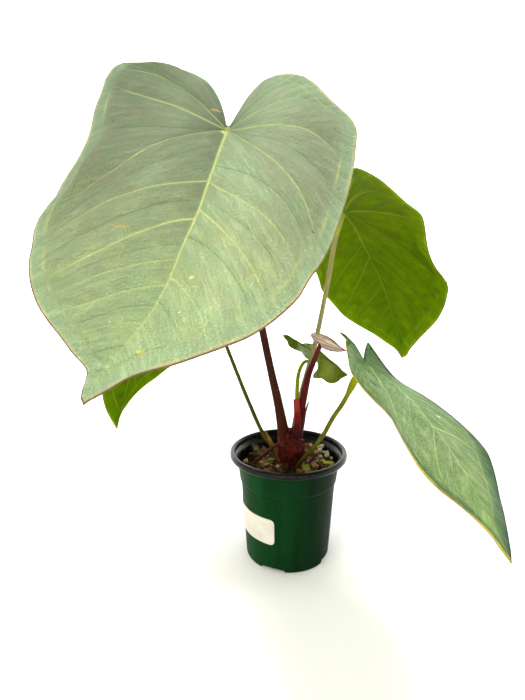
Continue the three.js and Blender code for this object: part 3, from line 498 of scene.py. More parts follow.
def leaf_epidermis(tree, look, marks=()):
    """Living leaf skin, grown: waxy cuticle over a net of veins, and light shines through it.

    Its colour carries painted light and shade across the blade, on its wrinkles and in its grooves.
    """
    plan, flow = (add(tree, "UVMap", uv_map=key) for key in ("plan", "flow"))
    vein, crease, edge, field, sideways = (add(tree, "Attribute", out="Fac", attribute_name=key)
        for key in ("vein", "crease", "edge", "field", "sideways"))
    # Plan (along, sideways) and flow (across the veins, along them) are in units of 100 mm, so a scale of
    # 100 / n makes a pattern n millimetres large.
    parts = add(tree, "SeparateXYZ", [plan])
    lengthwise = add(tree, "MapRange", [parts, -.7, 2.2])
    ground = add(tree, "ValToRGB", [lengthwise], stops=[((u + 70) / 290, code)
        for u, code in look["ground"]])
    crosswise = add(tree, "MapRange", [sideways, -130, 130])
    # Painted light and shade: ramps that brighten or darken the blade left and right of the midrib.
    painted_shades = [add(tree, "ValToRGB", [crosswise], stops=[((v + 130) / 260, (k, k, k, 1))
        for v, k in look[key]]) for key in ("shade", "tip_shade")]
    near_tip = add(tree, "MapRange", [parts, .5, 1.4], interpolation_type="SMOOTHSTEP")
    shade = add(tree, "Mix", [near_tip, painted_shades[0], painted_shades[1]])
    clouds = add(tree, "TexNoise", {"Vector": plan, "Scale": 4, "Detail": 4, "Roughness": .6})
    warp = add(tree, "TexNoise", {"Vector": plan, "Scale": 9, "Detail": 2})
    bent = add(tree, "VectorMath", [warp.node.outputs["Color"], (.07, .07, 0), plan],
        operation="MULTIPLY_ADD")
    cloudy = add(tree, "MapRange", [clouds, .38, .62, 0, look["mottling"]])
    mottled = add(tree, "Mix", [cloudy, ground, look["mottle"]])
    patchy = add(tree, "MapRange", [warp, .35, .6, 0, look["field_amount"]])
    middle = add(tree, "Math", [field, patchy], operation="MULTIPLY")
    filled = add(tree, "Mix", [middle, mottled, look["field"]])
    with_painted_shade = add(tree, "Mix", [1, filled, shade], blend_type="MULTIPLY")
    ragged = add(tree, "Math", [warp, -14, edge], operation="MULTIPLY_ADD")
    border = add(tree, "MapRange", [ragged, -6, -6 + look["border_width"], look["border_amount"], 0])
    bordered = add(tree, "Mix", [border, with_painted_shade, look["border"]])
    # Wrinkles 4 mm apart and 30 mm long that follow the veins, striae 1.5 mm apart, a net of 2.5 mm fields.
    swayed = add(tree, "VectorMath", [warp.node.outputs["Color"], (.03, .03, 0), flow],
        operation="MULTIPLY_ADD")
    drawn = add(tree, "Mapping", {"Vector": swayed, "Scale": (25, 3.4, 1)})
    folds = add(tree, "TexNoise", {"Vector": drawn, "Scale": 1, "Detail": 3, "Roughness": .5})
    fine = add(tree, "Mapping", {"Vector": swayed, "Scale": (66, 9, 1)})
    striae = add(tree, "TexNoise", {"Vector": fine, "Scale": 1, "Detail": 2})
    ridges = add(tree, "Math", [striae, .4, folds], operation="MULTIPLY_ADD")
    # Painted shading: the ridge tone lightens and darkens the colour with the wrinkles and striae of the
    # bump.
    painted_ridge_shade = add(tree, "MapRange", [ridges, .5, .9, 1 - look["ridging"], 1 + look["ridging"]])
    centred = add(tree, "Math", [folds, .5], operation="SUBTRACT")
    folded = add(tree, "Math", [centred], operation="ABSOLUTE")
    wrinkle = add(tree, "MapRange", [folded, 0, .05, 1, 0])
    cells = add(tree, "TexVoronoi", {"Vector": bent, "Scale": 40}, feature="DISTANCE_TO_EDGE")
    netting = add(tree, "MapRange", [cells, 0, .14, 1, 0])
    net_amount = add(tree, "Math", [netting, look["net"]], operation="MULTIPLY")
    ridged = add(tree, "Mix", [1, bordered, painted_ridge_shade], blend_type="MULTIPLY")
    netted = add(tree, "Mix", [net_amount, ridged, look["vein"]])
    # Painted shade: the crease tone darkens the wrinkle lines and the sunken weak veins.
    lines = add(tree, "Math", [wrinkle, look["wrinkle"], crease], operation="MULTIPLY_ADD", use_clamp=True)
    creased = add(tree, "Mix", [lines, netted, look["crease"]])
    veined = add(tree, "Mix", [vein, creased, look["vein"]])
    color = veined
    for u, v, long, wide, code in marks:
        offset = add(tree, "VectorMath", [bent, (u / 100 + .035, v / 100 + .035, 0)], operation="SUBTRACT")
        scaled = add(tree, "VectorMath", [offset, (100 / long, 100 / wide, 0)], operation="MULTIPLY")
        far = add(tree, "VectorMath", [scaled], operation="LENGTH")
        inside = add(tree, "MapRange", [far, .7, 1.1, 1, 0])
        color = add(tree, "Mix", [inside, color, code])
    # Edge is millimetres from the margin: a thin brown line, then a pale seam that fades inwards.
    wander = add(tree, "TexNoise", {"Vector": plan, "Scale": 5, "Detail": 2})
    uneven = add(tree, "MapRange", [wander, .35, .65, .2, 1])
    near_half = add(tree, "MapRange", [sideways, -1, 1])
    seam_tone, edge_tone = (add(tree, "Mix", [near_half, look.get(key + "_far", look[key]), look[key]])
        for key in ("seam", "edge"))
    wide = look.get("edge_width", 1)
    seam = add(tree, "MapRange", [edge, .9 * wide, 2.2 * wide, look["seam_strength"], 0])
    seam_amount = add(tree, "Math", [seam, uneven], operation="MULTIPLY")
    pale = add(tree, "Mix", [seam_amount, color, seam_tone])
    rim = add(tree, "MapRange", [edge, .35 * wide, .95 * wide, .9, 0])
    towards_tip = add(tree, "MapRange", [parts, .2, 1, look["edge_base"]])
    rim_amount = add(tree, "Math", [rim, towards_tip], operation="MULTIPLY")
    brown = add(tree, "Mix", [rim_amount, pale, edge_tone])
    color = brown
    relief = add(tree, "Math", [ridges, -5, netting], operation="MULTIPLY_ADD")
    bump = add(tree, "Bump", {"Height": relief, "Strength": look["relief"], "Distance": -.0006})
    rough = add(tree, "MapRange", [clouds, .3, .7, .48, .62])
    skin = add(tree, "BsdfPrincipled", {"Base Color": color, "Roughness": rough, "Normal": bump,
        "IOR": 1.45, "Specular IOR Level": look["gloss"]})
    through = add(tree, "BsdfTranslucent", {"Color": color, "Normal": bump})
    return add(tree, "MixShader", [look["glow"], skin, through])


def stem_epidermis(tree, stops, speckle, shine):
    """Smooth green or wine-red stem skin, grown: colour shifts along it, fine ribs and corky specks."""
    place = add(tree, "TexCoord", out="Object")
    share = add(tree, "Attribute", out="Fac", attribute_name="along")
    # Streaks 1 mm wide and 15 mm long along the upright stem, and 0.6 mm specks.
    drawn = add(tree, "Mapping", {"Vector": place, "Scale": (1000, 1000, 66)})
    streaks = add(tree, "TexNoise", {"Vector": drawn, "Scale": .9, "Detail": 3})
    patches = add(tree, "TexNoise", {"Vector": place, "Scale": 90, "Detail": 3})
    shift = add(tree, "Math", [patches, .16, share], operation="MULTIPLY_ADD")
    ramp = add(tree, "ValToRGB", [shift], stops=[(min(spot + .08, 1), code) for spot, code in stops])
    darker = add(tree, "Mix", [.45, ramp, (.25, .2, .18, 1)], blend_type="MULTIPLY")
    streaked = add(tree, "MapRange", [streaks, .42, .7, 0, .55])
    mixed = add(tree, "Mix", [streaked, ramp, darker])
    dots = add(tree, "TexVoronoi", {"Vector": place, "Scale": 700})
    dot = add(tree, "MapRange", [dots, .14, .24, speckle, 0])
    dotted = add(tree, "Mix", [dot, mixed, "#b79a78"])
    bump = add(tree, "Bump", {"Height": streaks, "Strength": .3, "Distance": .0003})
    rough = add(tree, "MapRange", [patches, 0, 1, shine, shine + .25])
    return add(tree, "BsdfPrincipled", {"Base Color": dotted, "IOR": 1.45, "Roughness": rough,
        "Normal": bump, "Specular IOR Level": .1})


def bract_skin(tree, stops, rough_low):
    """Papery or fleshy bract, grown and drying: parallel fibres 0.7 mm apart show through its skin."""
    place = add(tree, "TexCoord", out="Object")
    share = add(tree, "Attribute", out="Fac", attribute_name="along")
    fibre = add(tree, "Mapping", {"Vector": place, "Scale": (1400, 1400, 60)})
    fibres = add(tree, "TexNoise", {"Vector": fibre, "Scale": 1, "Detail": 4})
    blotch = add(tree, "TexNoise", {"Vector": place, "Scale": 160, "Detail": 4})
    shift = add(tree, "Math", [blotch, .5, share], operation="MULTIPLY_ADD")
    ramp = add(tree, "ValToRGB", [shift], stops=[(min(spot + .2, 1), code) for spot, code in stops])
    dark = add(tree, "MapRange", [fibres, .4, .65, .45, 1])
    lined = add(tree, "Mix", [1, ramp, dark], blend_type="MULTIPLY")
    bump = add(tree, "Bump", {"Height": fibres, "Strength": .5, "Distance": .0004})
    rough = add(tree, "MapRange", [blotch, 0, 1, rough_low, rough_low + .35])
    return add(tree, "BsdfPrincipled", {"Base Color": lined, "Roughness": rough, "Specular IOR Level": .12,
        "Normal": bump})


def corky_crown(tree, low, high, fleck):
    """Knobbly stem base and root, grown: cracked corky skin over wine-red tissue."""
    place = add(tree, "TexCoord", out="Object")
    lumps = add(tree, "TexNoise", {"Vector": place, "Scale": 220, "Detail": 6, "Roughness": .65})
    cracks = add(tree, "TexVoronoi", {"Vector": place, "Scale": 330}, feature="DISTANCE_TO_EDGE")
    ramp = add(tree, "ValToRGB", [lumps], stops=[(.32, low), (.6, high), (.74, fleck)])
    height = add(tree, "Math", [cracks, .8, lumps], operation="MULTIPLY_ADD")
    bump = add(tree, "Bump", {"Height": height, "Strength": 1, "Distance": .0014})
    return add(tree, "BsdfPrincipled", {"Base Color": ramp, "Roughness": .6, "Specular IOR Level": .15,
        "Normal": bump})


def moulded_polypropylene(tree, light, dark, dust, rough_low, gloss):
    """Polypropylene, moulded: satin skin with faint flow marks, scuffs and a little potting dust.

    Painted light brightens its left side and painted shade darkens its right.
    """
    place = add(tree, "TexCoord", out="Object")
    # Flow marks run up the wall, about 12 mm apart. Scuffs are 2 mm flecks, dust 1 mm specks.
    flow = add(tree, "Mapping", {"Vector": place, "Scale": (80, 80, 9)})
    marks = add(tree, "TexNoise", {"Vector": flow, "Scale": 1, "Detail": 3})
    scuffs = add(tree, "TexNoise", {"Vector": place, "Scale": 480, "Detail": 5, "Roughness": .7})
    base = add(tree, "ValToRGB", [marks], stops=[(.35, dark), (.65, light)])
    # Painted light and shade: brighter on the pot's left (-x), darker on its right (+x).
    parts = add(tree, "SeparateXYZ", [place])
    painted_side_shade = add(tree, "MapRange", [parts, -.03, .04, 1.3, .2])
    base = add(tree, "Mix", [1, base, painted_side_shade], blend_type="MULTIPLY")
    specks = add(tree, "TexVoronoi", {"Vector": place, "Scale": 300})
    rare = add(tree, "TexNoise", {"Vector": place, "Scale": 60, "Detail": 2})
    size = add(tree, "Math", [rare, .36, -.12], operation="MULTIPLY_ADD")
    fleck = add(tree, "Math", [specks, size], operation="LESS_THAN")
    amount = add(tree, "Math", [fleck, dust], operation="MULTIPLY")
    dusty = add(tree, "Mix", [amount, base, "#8f8674"])
    rough = add(tree, "MapRange", [scuffs, .3, .75, rough_low, rough_low + .25])
    bump = add(tree, "Bump", {"Height": scuffs, "Strength": .12, "Distance": .0002})
    return add(tree, "BsdfPrincipled", {"Base Color": dusty, "IOR": 1.49, "Roughness": rough,
        "Specular IOR Level": gloss, "Normal": bump})


def coated_paper(tree):
    """Label paper, coated and printed on nothing: faint fibres and a slight creamy unevenness."""
    place = add(tree, "TexCoord", out="Object")
    fibres = add(tree, "TexNoise", {"Vector": place, "Scale": 900, "Detail": 4})
    stains = add(tree, "TexNoise", {"Vector": place, "Scale": 70, "Detail": 3})
    ramp = add(tree, "ValToRGB", [stains], stops=[(.3, "#d0cab8"), (.6, "#dcd7c8")])
    bump = add(tree, "Bump", {"Height": fibres, "Strength": .15, "Distance": .0001})
    return add(tree, "BsdfPrincipled", {"Base Color": ramp, "Roughness": .5, "Normal": bump})


def mix_material(tree, stops, grain, pores):
    """Bark, fines or perlite, crushed: each bit has its own tone, with fibrous or porous broken faces."""
    place = add(tree, "TexCoord", out="Object")
    tone = add(tree, "Attribute", out="Fac", attribute_name="tone")
    rough_grain = add(tree, "TexNoise", {"Vector": place, "Scale": 1000 / grain, "Detail": 5,
        "Roughness": .7})
    value = add(tree, "Math", [rough_grain, .35, tone], operation="MULTIPLY_ADD")
    shifted = add(tree, "Math", [value, -.17], operation="ADD")
    ramp = add(tree, "ValToRGB", [shifted], stops=stops)
    holes = add(tree, "TexVoronoi", {"Vector": place, "Scale": 1000 / pores})
    height = add(tree, "Math", [holes, .8, rough_grain], operation="MULTIPLY_ADD")
    bump = add(tree, "Bump", {"Height": height, "Strength": .9, "Distance": .0006})
    return add(tree, "BsdfPrincipled", {"Base Color": ramp, "Roughness": .9, "Normal": bump})


def furled_epidermis(tree):
    """Young leaf still rolled, grown: waxy bronze skin with rolled veins along it.

    A painted pink highlight lies on its top front and painted shade on the rest.
    """
    share = add(tree, "Attribute", out="Fac", attribute_name="along")
    turn = add(tree, "Attribute", out="Fac", attribute_name="around")
    place = add(tree, "TexCoord", out="Object")
    grid = add(tree, "CombineXYZ", [turn, share])
    drawn = add(tree, "Mapping", {"Vector": grid, "Scale": (26, 2.5, 1)})
    veins = add(tree, "TexNoise", {"Vector": drawn, "Scale": 1, "Detail": 3})
    fine = add(tree, "TexNoise", {"Vector": place, "Scale": 500, "Detail": 3})
    ramp = add(tree, "ValToRGB", [veins], stops=[(.35, "#7a5844"), (.5, "#ccaa9c"), (.62, "#fae6da")])
    # Painted highlight: the pale pink streaks show on the top front alone, a seventh of a turn behind the
    # front line, and painted shade darkens the rest of the way round.
    level = add(tree, "Math", [turn, 2 * pi, .9], operation="MULTIPLY_ADD")
    facing = add(tree, "Math", [level], operation="COSINE")
    painted_shade_amount = add(tree, "MapRange", [facing, -.5, .6, .9, 0])
    with_painted_shade = add(tree, "Mix", [painted_shade_amount, ramp, "#4c3018"])
    ends = add(tree, "ValToRGB", [share], stops=[(0, "#6a3a2a"), (.86, "#7c4c3a"), (1, "#a01c24")])
    at_tip = add(tree, "MapRange", [share, .84, .97])
    color = add(tree, "Mix", [at_tip, with_painted_shade, ends])
    height = add(tree, "Math", [fine, .3, veins], operation="MULTIPLY_ADD")
    bump = add(tree, "Bump", {"Height": height, "Strength": .4, "Distance": .0004})
    return add(tree, "BsdfPrincipled", {"Base Color": color, "Roughness": .34, "Normal": bump,
        "Specular IOR Level": .2, "Coat Weight": .08, "Coat Roughness": .3})


def seamless_paper(tree, color):
    """Background paper, rolled: matt, with a very faint cloudiness."""
    place = add(tree, "TexCoord", out="Object")
    clouds = add(tree, "TexNoise", {"Vector": place, "Scale": 3, "Detail": 2})
    ramp = add(tree, "ValToRGB", [clouds], stops=[(0, tuple(.97 * c for c in color[:3]) + (1,)),
        (1, tuple(color[:3]) + (1,))])
    return add(tree, "BsdfPrincipled", {"Base Color": ramp, "Roughness": .9})


# Geometry Nodes trees.


def tree_with(name, sockets):
    """Empty geometry tree with named inputs, its input node and its output socket."""
    tree = bpy.data.node_groups.new(name, "GeometryNodeTree")
    tree.interface.new_socket("Geometry", in_out="INPUT", socket_type="NodeSocketGeometry")
    for label, kind in sockets:
        tree.interface.new_socket(label, in_out="INPUT", socket_type=kind)
    tree.interface.new_socket("Geometry", in_out="OUTPUT", socket_type="NodeSocketGeometry")
    return tree, tree.nodes.new("NodeGroupInput"), tree.nodes.new("NodeGroupOutput")


def stalk_tree():
    """Tube along an edge chain, as thick as the chain's own thickness, with uneven growth."""
    tree, given, result = tree_with("Stalk along a path", [("Sides", "NodeSocketInt"),
        ("Unevenness", "NodeSocketFloat"), ("Lump size", "NodeSocketFloat"),
        ("Skin", "NodeSocketMaterial")])
    path = add(tree, "GeometryNodeMeshToCurve", {"Mesh": given.outputs["Geometry"]})
    girth = add(tree, "GeometryNodeInputNamedAttribute", {"Name": "girth"}, data_type="FLOAT")
    ring = add(tree, "GeometryNodeCurvePrimitiveCircle", {"Resolution": given.outputs["Sides"],
        "Radius": 1})
    tube = add(tree, "GeometryNodeCurveToMesh", {"Curve": path, "Profile Curve": ring, "Scale": girth,
        "Fill Caps": True})
    size = add(tree, "Math", [1, given.outputs["Lump size"]], operation="DIVIDE")
    lumps = add(tree, "TexNoise", {"Scale": size, "Detail": 2})
    centred = add(tree, "Math", [lumps, .5], operation="SUBTRACT")
    amount = add(tree, "Math", [centred, given.outputs["Unevenness"]], operation="MULTIPLY")
    normal = add(tree, "GeometryNodeInputNormal")
    push = add(tree, "VectorMath", [normal, amount], operation="SCALE")
    moved = add(tree, "GeometryNodeSetPosition", {"Geometry": tube, "Offset": push})
    smooth = add(tree, "GeometryNodeSetShadeSmooth", [moved])
    real = add(tree, "GeometryNodeRealizeInstances", [smooth])
    clad = add(tree, "GeometryNodeSetMaterial", {"Geometry": real, "Material": given.outputs["Skin"]})
    tree.links.new(clad, result.inputs[0])
    return tree


def scatter_tree():
    """Bits from a collection, scattered over a surface and turned at random, each with its own tone."""
    tree, given, result = tree_with("Scattered mix", [("Bits", "NodeSocketCollection"),
        ("Spacing", "NodeSocketFloat"), ("Density", "NodeSocketFloat"), ("Smallest", "NodeSocketFloat"),
        ("Largest", "NodeSocketFloat"), ("Tilt", "NodeSocketFloat"), ("Seed", "NodeSocketInt"),
        ("Stuff", "NodeSocketMaterial")])
    weight = add(tree, "GeometryNodeInputNamedAttribute", {"Name": "weight"}, data_type="FLOAT")
    spread = add(tree, "GeometryNodeDistributePointsOnFaces", {"Mesh": given.outputs["Geometry"],
        "Distance Min": given.outputs["Spacing"], "Density Max": given.outputs["Density"],
        "Density Factor": weight, "Seed": given.outputs["Seed"]}, distribute_method="POISSON")
    tilt_down = add(tree, "Math", [given.outputs["Tilt"], -1], operation="MULTIPLY")
    low = add(tree, "CombineXYZ", [tilt_down, tilt_down, -pi])
    high = add(tree, "CombineXYZ", [given.outputs["Tilt"], given.outputs["Tilt"], pi])
    turns = add(tree, "FunctionNodeRandomValue", [low, high, None, given.outputs["Seed"]],
        data_type="FLOAT_VECTOR")
    sizes = add(tree, "FunctionNodeRandomValue", [given.outputs["Smallest"], given.outputs["Largest"],
        None, given.outputs["Seed"]], data_type="FLOAT")
    bits = add(tree, "GeometryNodeCollectionInfo", {"Collection": given.outputs["Bits"],
        "Separate Children": True, "Reset Children": True})
    placed = add(tree, "GeometryNodeInstanceOnPoints", {"Points": spread, "Instance": bits,
        "Pick Instance": True, "Rotation": turns, "Scale": sizes})
    tones = add(tree, "FunctionNodeRandomValue", [.15, .95, None, 91], data_type="FLOAT")
    toned = add(tree, "GeometryNodeStoreNamedAttribute", {"Geometry": placed, "Name": "tone",
        "Value": tones}, data_type="FLOAT", domain="INSTANCE")
    real = add(tree, "GeometryNodeRealizeInstances", [toned])
    clad = add(tree, "GeometryNodeSetMaterial", {"Geometry": real, "Material": given.outputs["Stuff"]})
    tree.links.new(clad, result.inputs[0])
    return tree


# Shapes.


def stalk(name, route, radii, skin, unevenness=.00035, lump=.009):
    """Stem through the route's points, with flat closed ends inside what it grows from."""
    sides, steps = 22, 90
    shares = np.linspace(0, 1, steps + 1)
    path = along(curve(route), shares) * MM
    mesh = bpy.data.meshes.new(name)
    mesh.from_pydata(path.tolist(), [(k, k + 1) for k in range(steps)], [])
    thing = linked(name, mesh)
    store(thing, "girth", value_at(radii, shares) * MM)
    store(thing, "along", shares)
    tree = bpy.data.node_groups.get("Stalk along a path") or stalk_tree()
    return grown(thing, tree, Sides=sides, Unevenness=unevenness, **{"Lump size": lump}, Skin=skin)


def petiole_route(leaf):
    """Petiole points, ending at a right angle just below the blade."""
    up = rotation(leaf)[:, 2]
    end = leaf["radii"][-1][1]
    seat = 1.7 + end * tan(radians(abs(leaf["fold"])))
    below = [np.array(leaf["attach"], float) - depth * up for depth in (seat + 2.2 * end, seat)]
    return list(leaf["petiole"]) + below


def half_blade(leaf, side, rows, columns=15):
    """Grid of half a blade: flat points, places (s, t), distance to a vein, its strength, swell, field."""
    margin = curve(leaf[side])
    midrib = curve(leaf["midrib"])

    def flat(s, t):
        t = t[..., None]
        edge = along(margin, s)
        start = along(midrib, np.clip((s - leaf["basal"]) / (1 - leaf["basal"]), 0, None))
        bow = (start + edge) / 2
        bow[..., 2] = start[..., 2] + value_at(leaf.get("bulge", [(0, 0)]), s) * (edge - start)[..., 2]
        bow[..., 0] -= leaf["sweep"] * np.linalg.norm(edge - start, axis=-1)
        return (1 - t) ** 2 * start + 2 * t * (1 - t) * bow + t * t * edge

    veins = [(0, 0, 0, 0, 0)] + list(leaf["veins_" + side]) + [(1, 1, 1, 1, 0)]
    knots = np.array([v[:4] for v in veins])
    strength = np.array([v[4] for v in veins])
    powers = np.linalg.inv(np.vander([0, 1 / 3, 2 / 3, 1], 4))
    lines = knots @ powers.T @ np.vander(rows, 4).T
    t = np.broadcast_to(rows, lines.shape)
    width = np.linalg.norm(np.diff(flat(lines, t), axis=0), axis=-1)

    near = np.array([0, .4, .9, 1.8])
    limit = np.array([0, .07, .16, .27])
    inner = np.linspace(0, 1, columns - 2 * len(near) + 3)[1:-1]
    offsets = np.minimum(near[:, None, None] / np.maximum(width, 1e-6), limit[:, None, None])
    middle = offsets[-1] + inner[:, None, None] * (1 - 2 * offsets[-1])
    shares = np.concatenate([offsets, middle, 1 - offsets[:0:-1]])
    shares = np.swapaxes(shares, 0, 1)
    s = lines[:-1, None] + shares * (lines[1:] - lines[:-1])[:, None]
    s = np.concatenate([s.reshape(-1, len(rows)), lines[-1:]])
    t = np.broadcast_to(rows, s.shape)
    nearest = np.minimum(shares, 1 - shares) * width[:, None]
    plain = np.where(shares < .5, strength[:-1, None, None], strength[1:, None, None])
    swell = np.sin(pi * shares) * width[:, None] * (strength[:-1] + strength[1:])[:, None, None] / 2
    last = np.zeros((1, len(rows)))
    layers = [np.concatenate([layer.reshape(-1, len(rows)), last])
        for layer in (nearest, plain, swell, np.sin(pi * shares))]
    return flat(s, t), s, t, *layers


def blade(name, leaf, skins, settings, size=1.0):
    """Closed blade whose grid follows its veins: raised ribs, swollen fields between them, thin margin."""
    n = leaf["rows"]
    rows = np.unique(np.r_[0, .004, .009, .016, .028, .045, np.linspace(.07, .93, n), .955, .975, .988,
        .996, 1])
    spine_share = np.linspace(0, 1, 3 * n)
    spine = along(curve(leaf["midrib"]), spine_share)
    faces, start = [], len(spine)
    sinus = leaf["basal"]
    reach_on = 1.8 * leaf["midrib"][-1][0]
    flow = np.stack([reach_on * (sinus + (1 - sinus) * spine_share), 0 * spine_share], -1)
    none = 0 * spine_share
    # Flat points, vein, crease, field, swelling, share of the way out, distance to the margin, flow.
    layers = [(spine, none, none, none, none, none, none + FAR, flow)]
    inset = settings.collective_inset / MM * size
    for side in ("right", "left"):
        flat, s, t, nearest, plain, swell, field = (x[:, 1:] for x in half_blade(leaf, side, rows))
        cols, n_rows = s.shape
        reach = np.linalg.norm(flat[:, -1] - flat[:, 0], axis=-1)[:, None]
        half = size * (.3 + .44 * plain * (1 - .6 * t))
        line = np.exp(-(nearest / half) ** 2) * (1 - smooth_step(.72, .96, t))
        mask = np.where(plain > RAISED, plain * (1 - .35 * t ** 1.5), 0) * line
        sunk = np.where(plain > RAISED, 0, 2.2 * plain) * line
        to_edge = reach * (1 - t)
        collective = np.exp(-((to_edge - inset) / (.5 * size)) ** 2)
        collective *= smooth_step(.08, .2, s) * (1 - smooth_step(.93, .99, s))
        mask = np.maximum(mask, .5 * collective)
        sunk = np.maximum(sunk, .15 * collective)
        inside = smooth_step(.5, 1.9, to_edge / inset)
        grid = start + np.arange(cols * n_rows).reshape(cols, n_rows)
        quads = np.stack([grid[:-1, :-1], grid[1:, :-1], grid[1:, 1:], grid[:-1, 1:]], -1).reshape(-1, 4)
        share = np.clip((s[:, 0] - sinus) / (1 - sinus), 0, None)
        zipped, i, j = [], 0, 0
        while i + 1 < cols or j + 1 < len(spine):
            step_out = j + 1 >= len(spine) or (i + 1 < cols and share[i + 1] <= spine_share[j + 1])
            if step_out:
                zipped.append([j, grid[i + 1, 0], grid[i, 0]])
                i += 1
            else:
                zipped.append([j, j + 1, grid[i, 0]])
                j += 1
        block = [list(map(int, quad)) for quad in quads] + zipped
        if side == "right":
            block = [face[::-1] for face in block]
        faces += block
        swelling = swell * smooth_step(0, .3, t) * inside - .8 * collective / settings.quilting
        flow = np.stack([reach_on * s, t * reach * (1 if side == "right" else -1)], -1)
        inner = (mask, sunk, field * smooth_step(.12, .6, t), swelling, t, to_edge)
        layers.append((flat.reshape(-1, 3), *(layer.ravel() for layer in inner), flow.reshape(-1, 2)))
        start += cols * n_rows
    flat, mask, sunk, field, swell, out, edge, flow = (np.concatenate(layer) for layer in zip(*layers))
    # Midrib: a rib that tapers from the petiole to the tip.
    off_rib, place = np.full(len(flat), FAR), np.zeros(len(flat))
    for k in range(len(spine) - 1):
        step = spine[k + 1, :2] - spine[k, :2]
        share = np.clip((flat[:, :2] - spine[k, :2]) @ step / (step @ step), 0, 1)
        d = np.linalg.norm(flat[:, :2] - spine[k, :2] - share[:, None] * step, axis=1)
        closer = d < off_rib
        off_rib[closer], place[closer] = d[closer], spine_share[k]
    sideways = flat[:, 1] - np.interp(flat[:, 0], spine[:, 0], spine[:, 1])
    half_mid = size * (1.0 - .7 * place)
    rib = np.exp(-(off_rib / half_mid) ** 2) * (1 - smooth_step(.35, 1, place) * leaf.get("fade", .75))
    mask = np.maximum(mask, rib)
    hub = np.exp(-(np.linalg.norm(flat[:, :2], axis=1) / (2.4 * size)) ** 2)
    mask = np.maximum(mask, hub)

    u, v = flat[:, 0], flat[:, 1]
    calm = 1 - smooth_step(.8, 1, out)
    wave = .35 * np.sin(u / 13 + 1.3 * np.sin(v / 17)) * np.cos(v / 15 + .7)
    wave += .18 * np.sin(u / 6.1 + v / 7.3)
    lift = settings.quilting * leaf.get("swell", 1) * swell + wave * size * calm - .25 * sunk
    raised = flat.copy()
    raised[:, 2] += lift
    world = bend(leaf, raised)
    stiff = np.maximum(rib * (1 - out), hub)
    thick = settings.thickness / MM + settings.rib_height / MM * mask * (1 - .5 * out) + .9 * stiff * size
    thick *= 1 - .45 * smooth_step(.96, 1, out)
    points, body, kinds, source = close_sheet(world, faces, thick)
    thing = mesh_object(name, points, body, skins, [0 if kind == 0 else 1 for kind in kinds], sharp=70)
    for key, layer in (("vein", mask), ("crease", sunk * .8), ("edge", edge), ("field", field),
            ("sideways", sideways)):
        store(thing, key, layer[source])
    store_uv(thing, "plan", flat[source][:, :2] / 100)
    store_uv(thing, "flow", flow[source] / 100)
    return thing


def ring_faces(gaps, sides, start=0, flip=False):
    """Quads between rings of points that follow one another."""
    faces = []
    for i in range(gaps):
        for k in range(sides):
            a, b = (start + i * sides + n for n in (k, (k + 1) % sides))
            faces.append((a, a + sides, b + sides, b) if flip else (a, b, b + sides, a + sides))
    return faces


def path_frames(route, shares):
    """Points along a curve, and its tangents, side and front directions there."""
    centres = along(curve(route), shares)
    tangents = np.gradient(centres, axis=0)
    tangents /= np.linalg.norm(tangents, axis=1)[:, None]
    side = -np.cross([0, -1, 0], tangents)
    side /= np.linalg.norm(side, axis=1)[:, None]
    return centres, tangents, side, -np.cross(tangents, side)


def sheet_object(name, grid, thickness, material):
    """Thin solid on a grid of points, and the grid point that each of its points comes from."""
    count = grid.size // 3
    index = np.arange(count).reshape(grid.shape[:2])
    faces = np.stack([index[:-1, :-1], index[:-1, 1:], index[1:, 1:], index[1:, :-1]], -1).reshape(-1, 4)
    points, body, _, source = close_sheet(grid.reshape(-1, 3), faces.tolist(), np.full(count, thickness))
    return mesh_object(name, points, body, [material]), source


def bract(name, data, material):
    """Thin wrap around part of a stem, with a ragged upper end."""
    n_along, n_around = 26, 20
    shares = np.linspace(0, 1, n_along + 1)
    centres, tangents, side, front = path_frames(data["route"], shares)
    grid = np.zeros((n_along + 1, n_around + 1, 3))
    for i, t in enumerate(shares):
        low, high = value_at(data["start"], t), value_at(data["end"], t)
        for j, share in enumerate(np.linspace(0, 1, n_around + 1)):
            angle = radians(low + (high - low) * share)
            ragged = .6 * sin(9 * share + 2) + .35 * sin(23 * share)
            reach = value_at(data["radius"], t) + .45 + .18 * sin(11 * share + 7 * t) * t
            spot = centres[i] + front[i] * cos(angle) * reach + side[i] * sin(angle) * reach
            grid[i, j] = spot + tangents[i] * ragged * smooth_step(.6, 1, t)
    thing, source = sheet_object(name, grid, BRACT_THICKNESS, material)
    store(thing, "along", np.repeat(shares, n_around + 1)[source])
    return thing


def furled_blade(name, data, material):
    """Blade rolled round itself: an oval section with an overlapping outer edge, tapered to both ends."""
    n_along, n_around = 70, 56
    shares = np.linspace(0, 1, n_along + 1)
    centres, _, side, front = path_frames(data["spindle"], shares)
    points, around = [], []
    for i, t in enumerate(shares):
        half = float(value_at(data["half_width"], t))
        for k in range(n_around):
            share = k / n_around
            angle = 2 * pi * share
            seam = (share - .14 - .1 * t) % 1
            step = 1 + .13 * (seam - .5) * min(1, 3 * t) + .03 * sin(3 * angle + 5 * t)
            crease = 1 - .1 * np.exp(-((((share - .8) % 1) - .08 * t) / .05) ** 2)
            reach = half * step * crease
            points.append(centres[i] + front[i] * cos(angle) * reach * data["flatness"]
                + side[i] * sin(angle) * reach)
            around.append(share)
    faces = ring_faces(n_along, n_around) + [tuple(reversed(range(n_around)))]
    faces.append(tuple(n_along * n_around + k for k in range(n_around)))
    thing = mesh_object(name, points, faces, [material], sharp=75)
    store(thing, "along", np.repeat(shares, n_around))
    store(thing, "around", around)
    return thing


def turned(profile, sides):
    """Points and faces of a profile (radius, height) turned about the pot's axis, with both ends on it."""
    angles = 2 * pi * np.arange(sides) / sides
    points = [(radius * cos(a), radius * sin(a), height) for radius, height in profile for a in angles]
    return points, ring_faces(len(profile) - 1, sides)


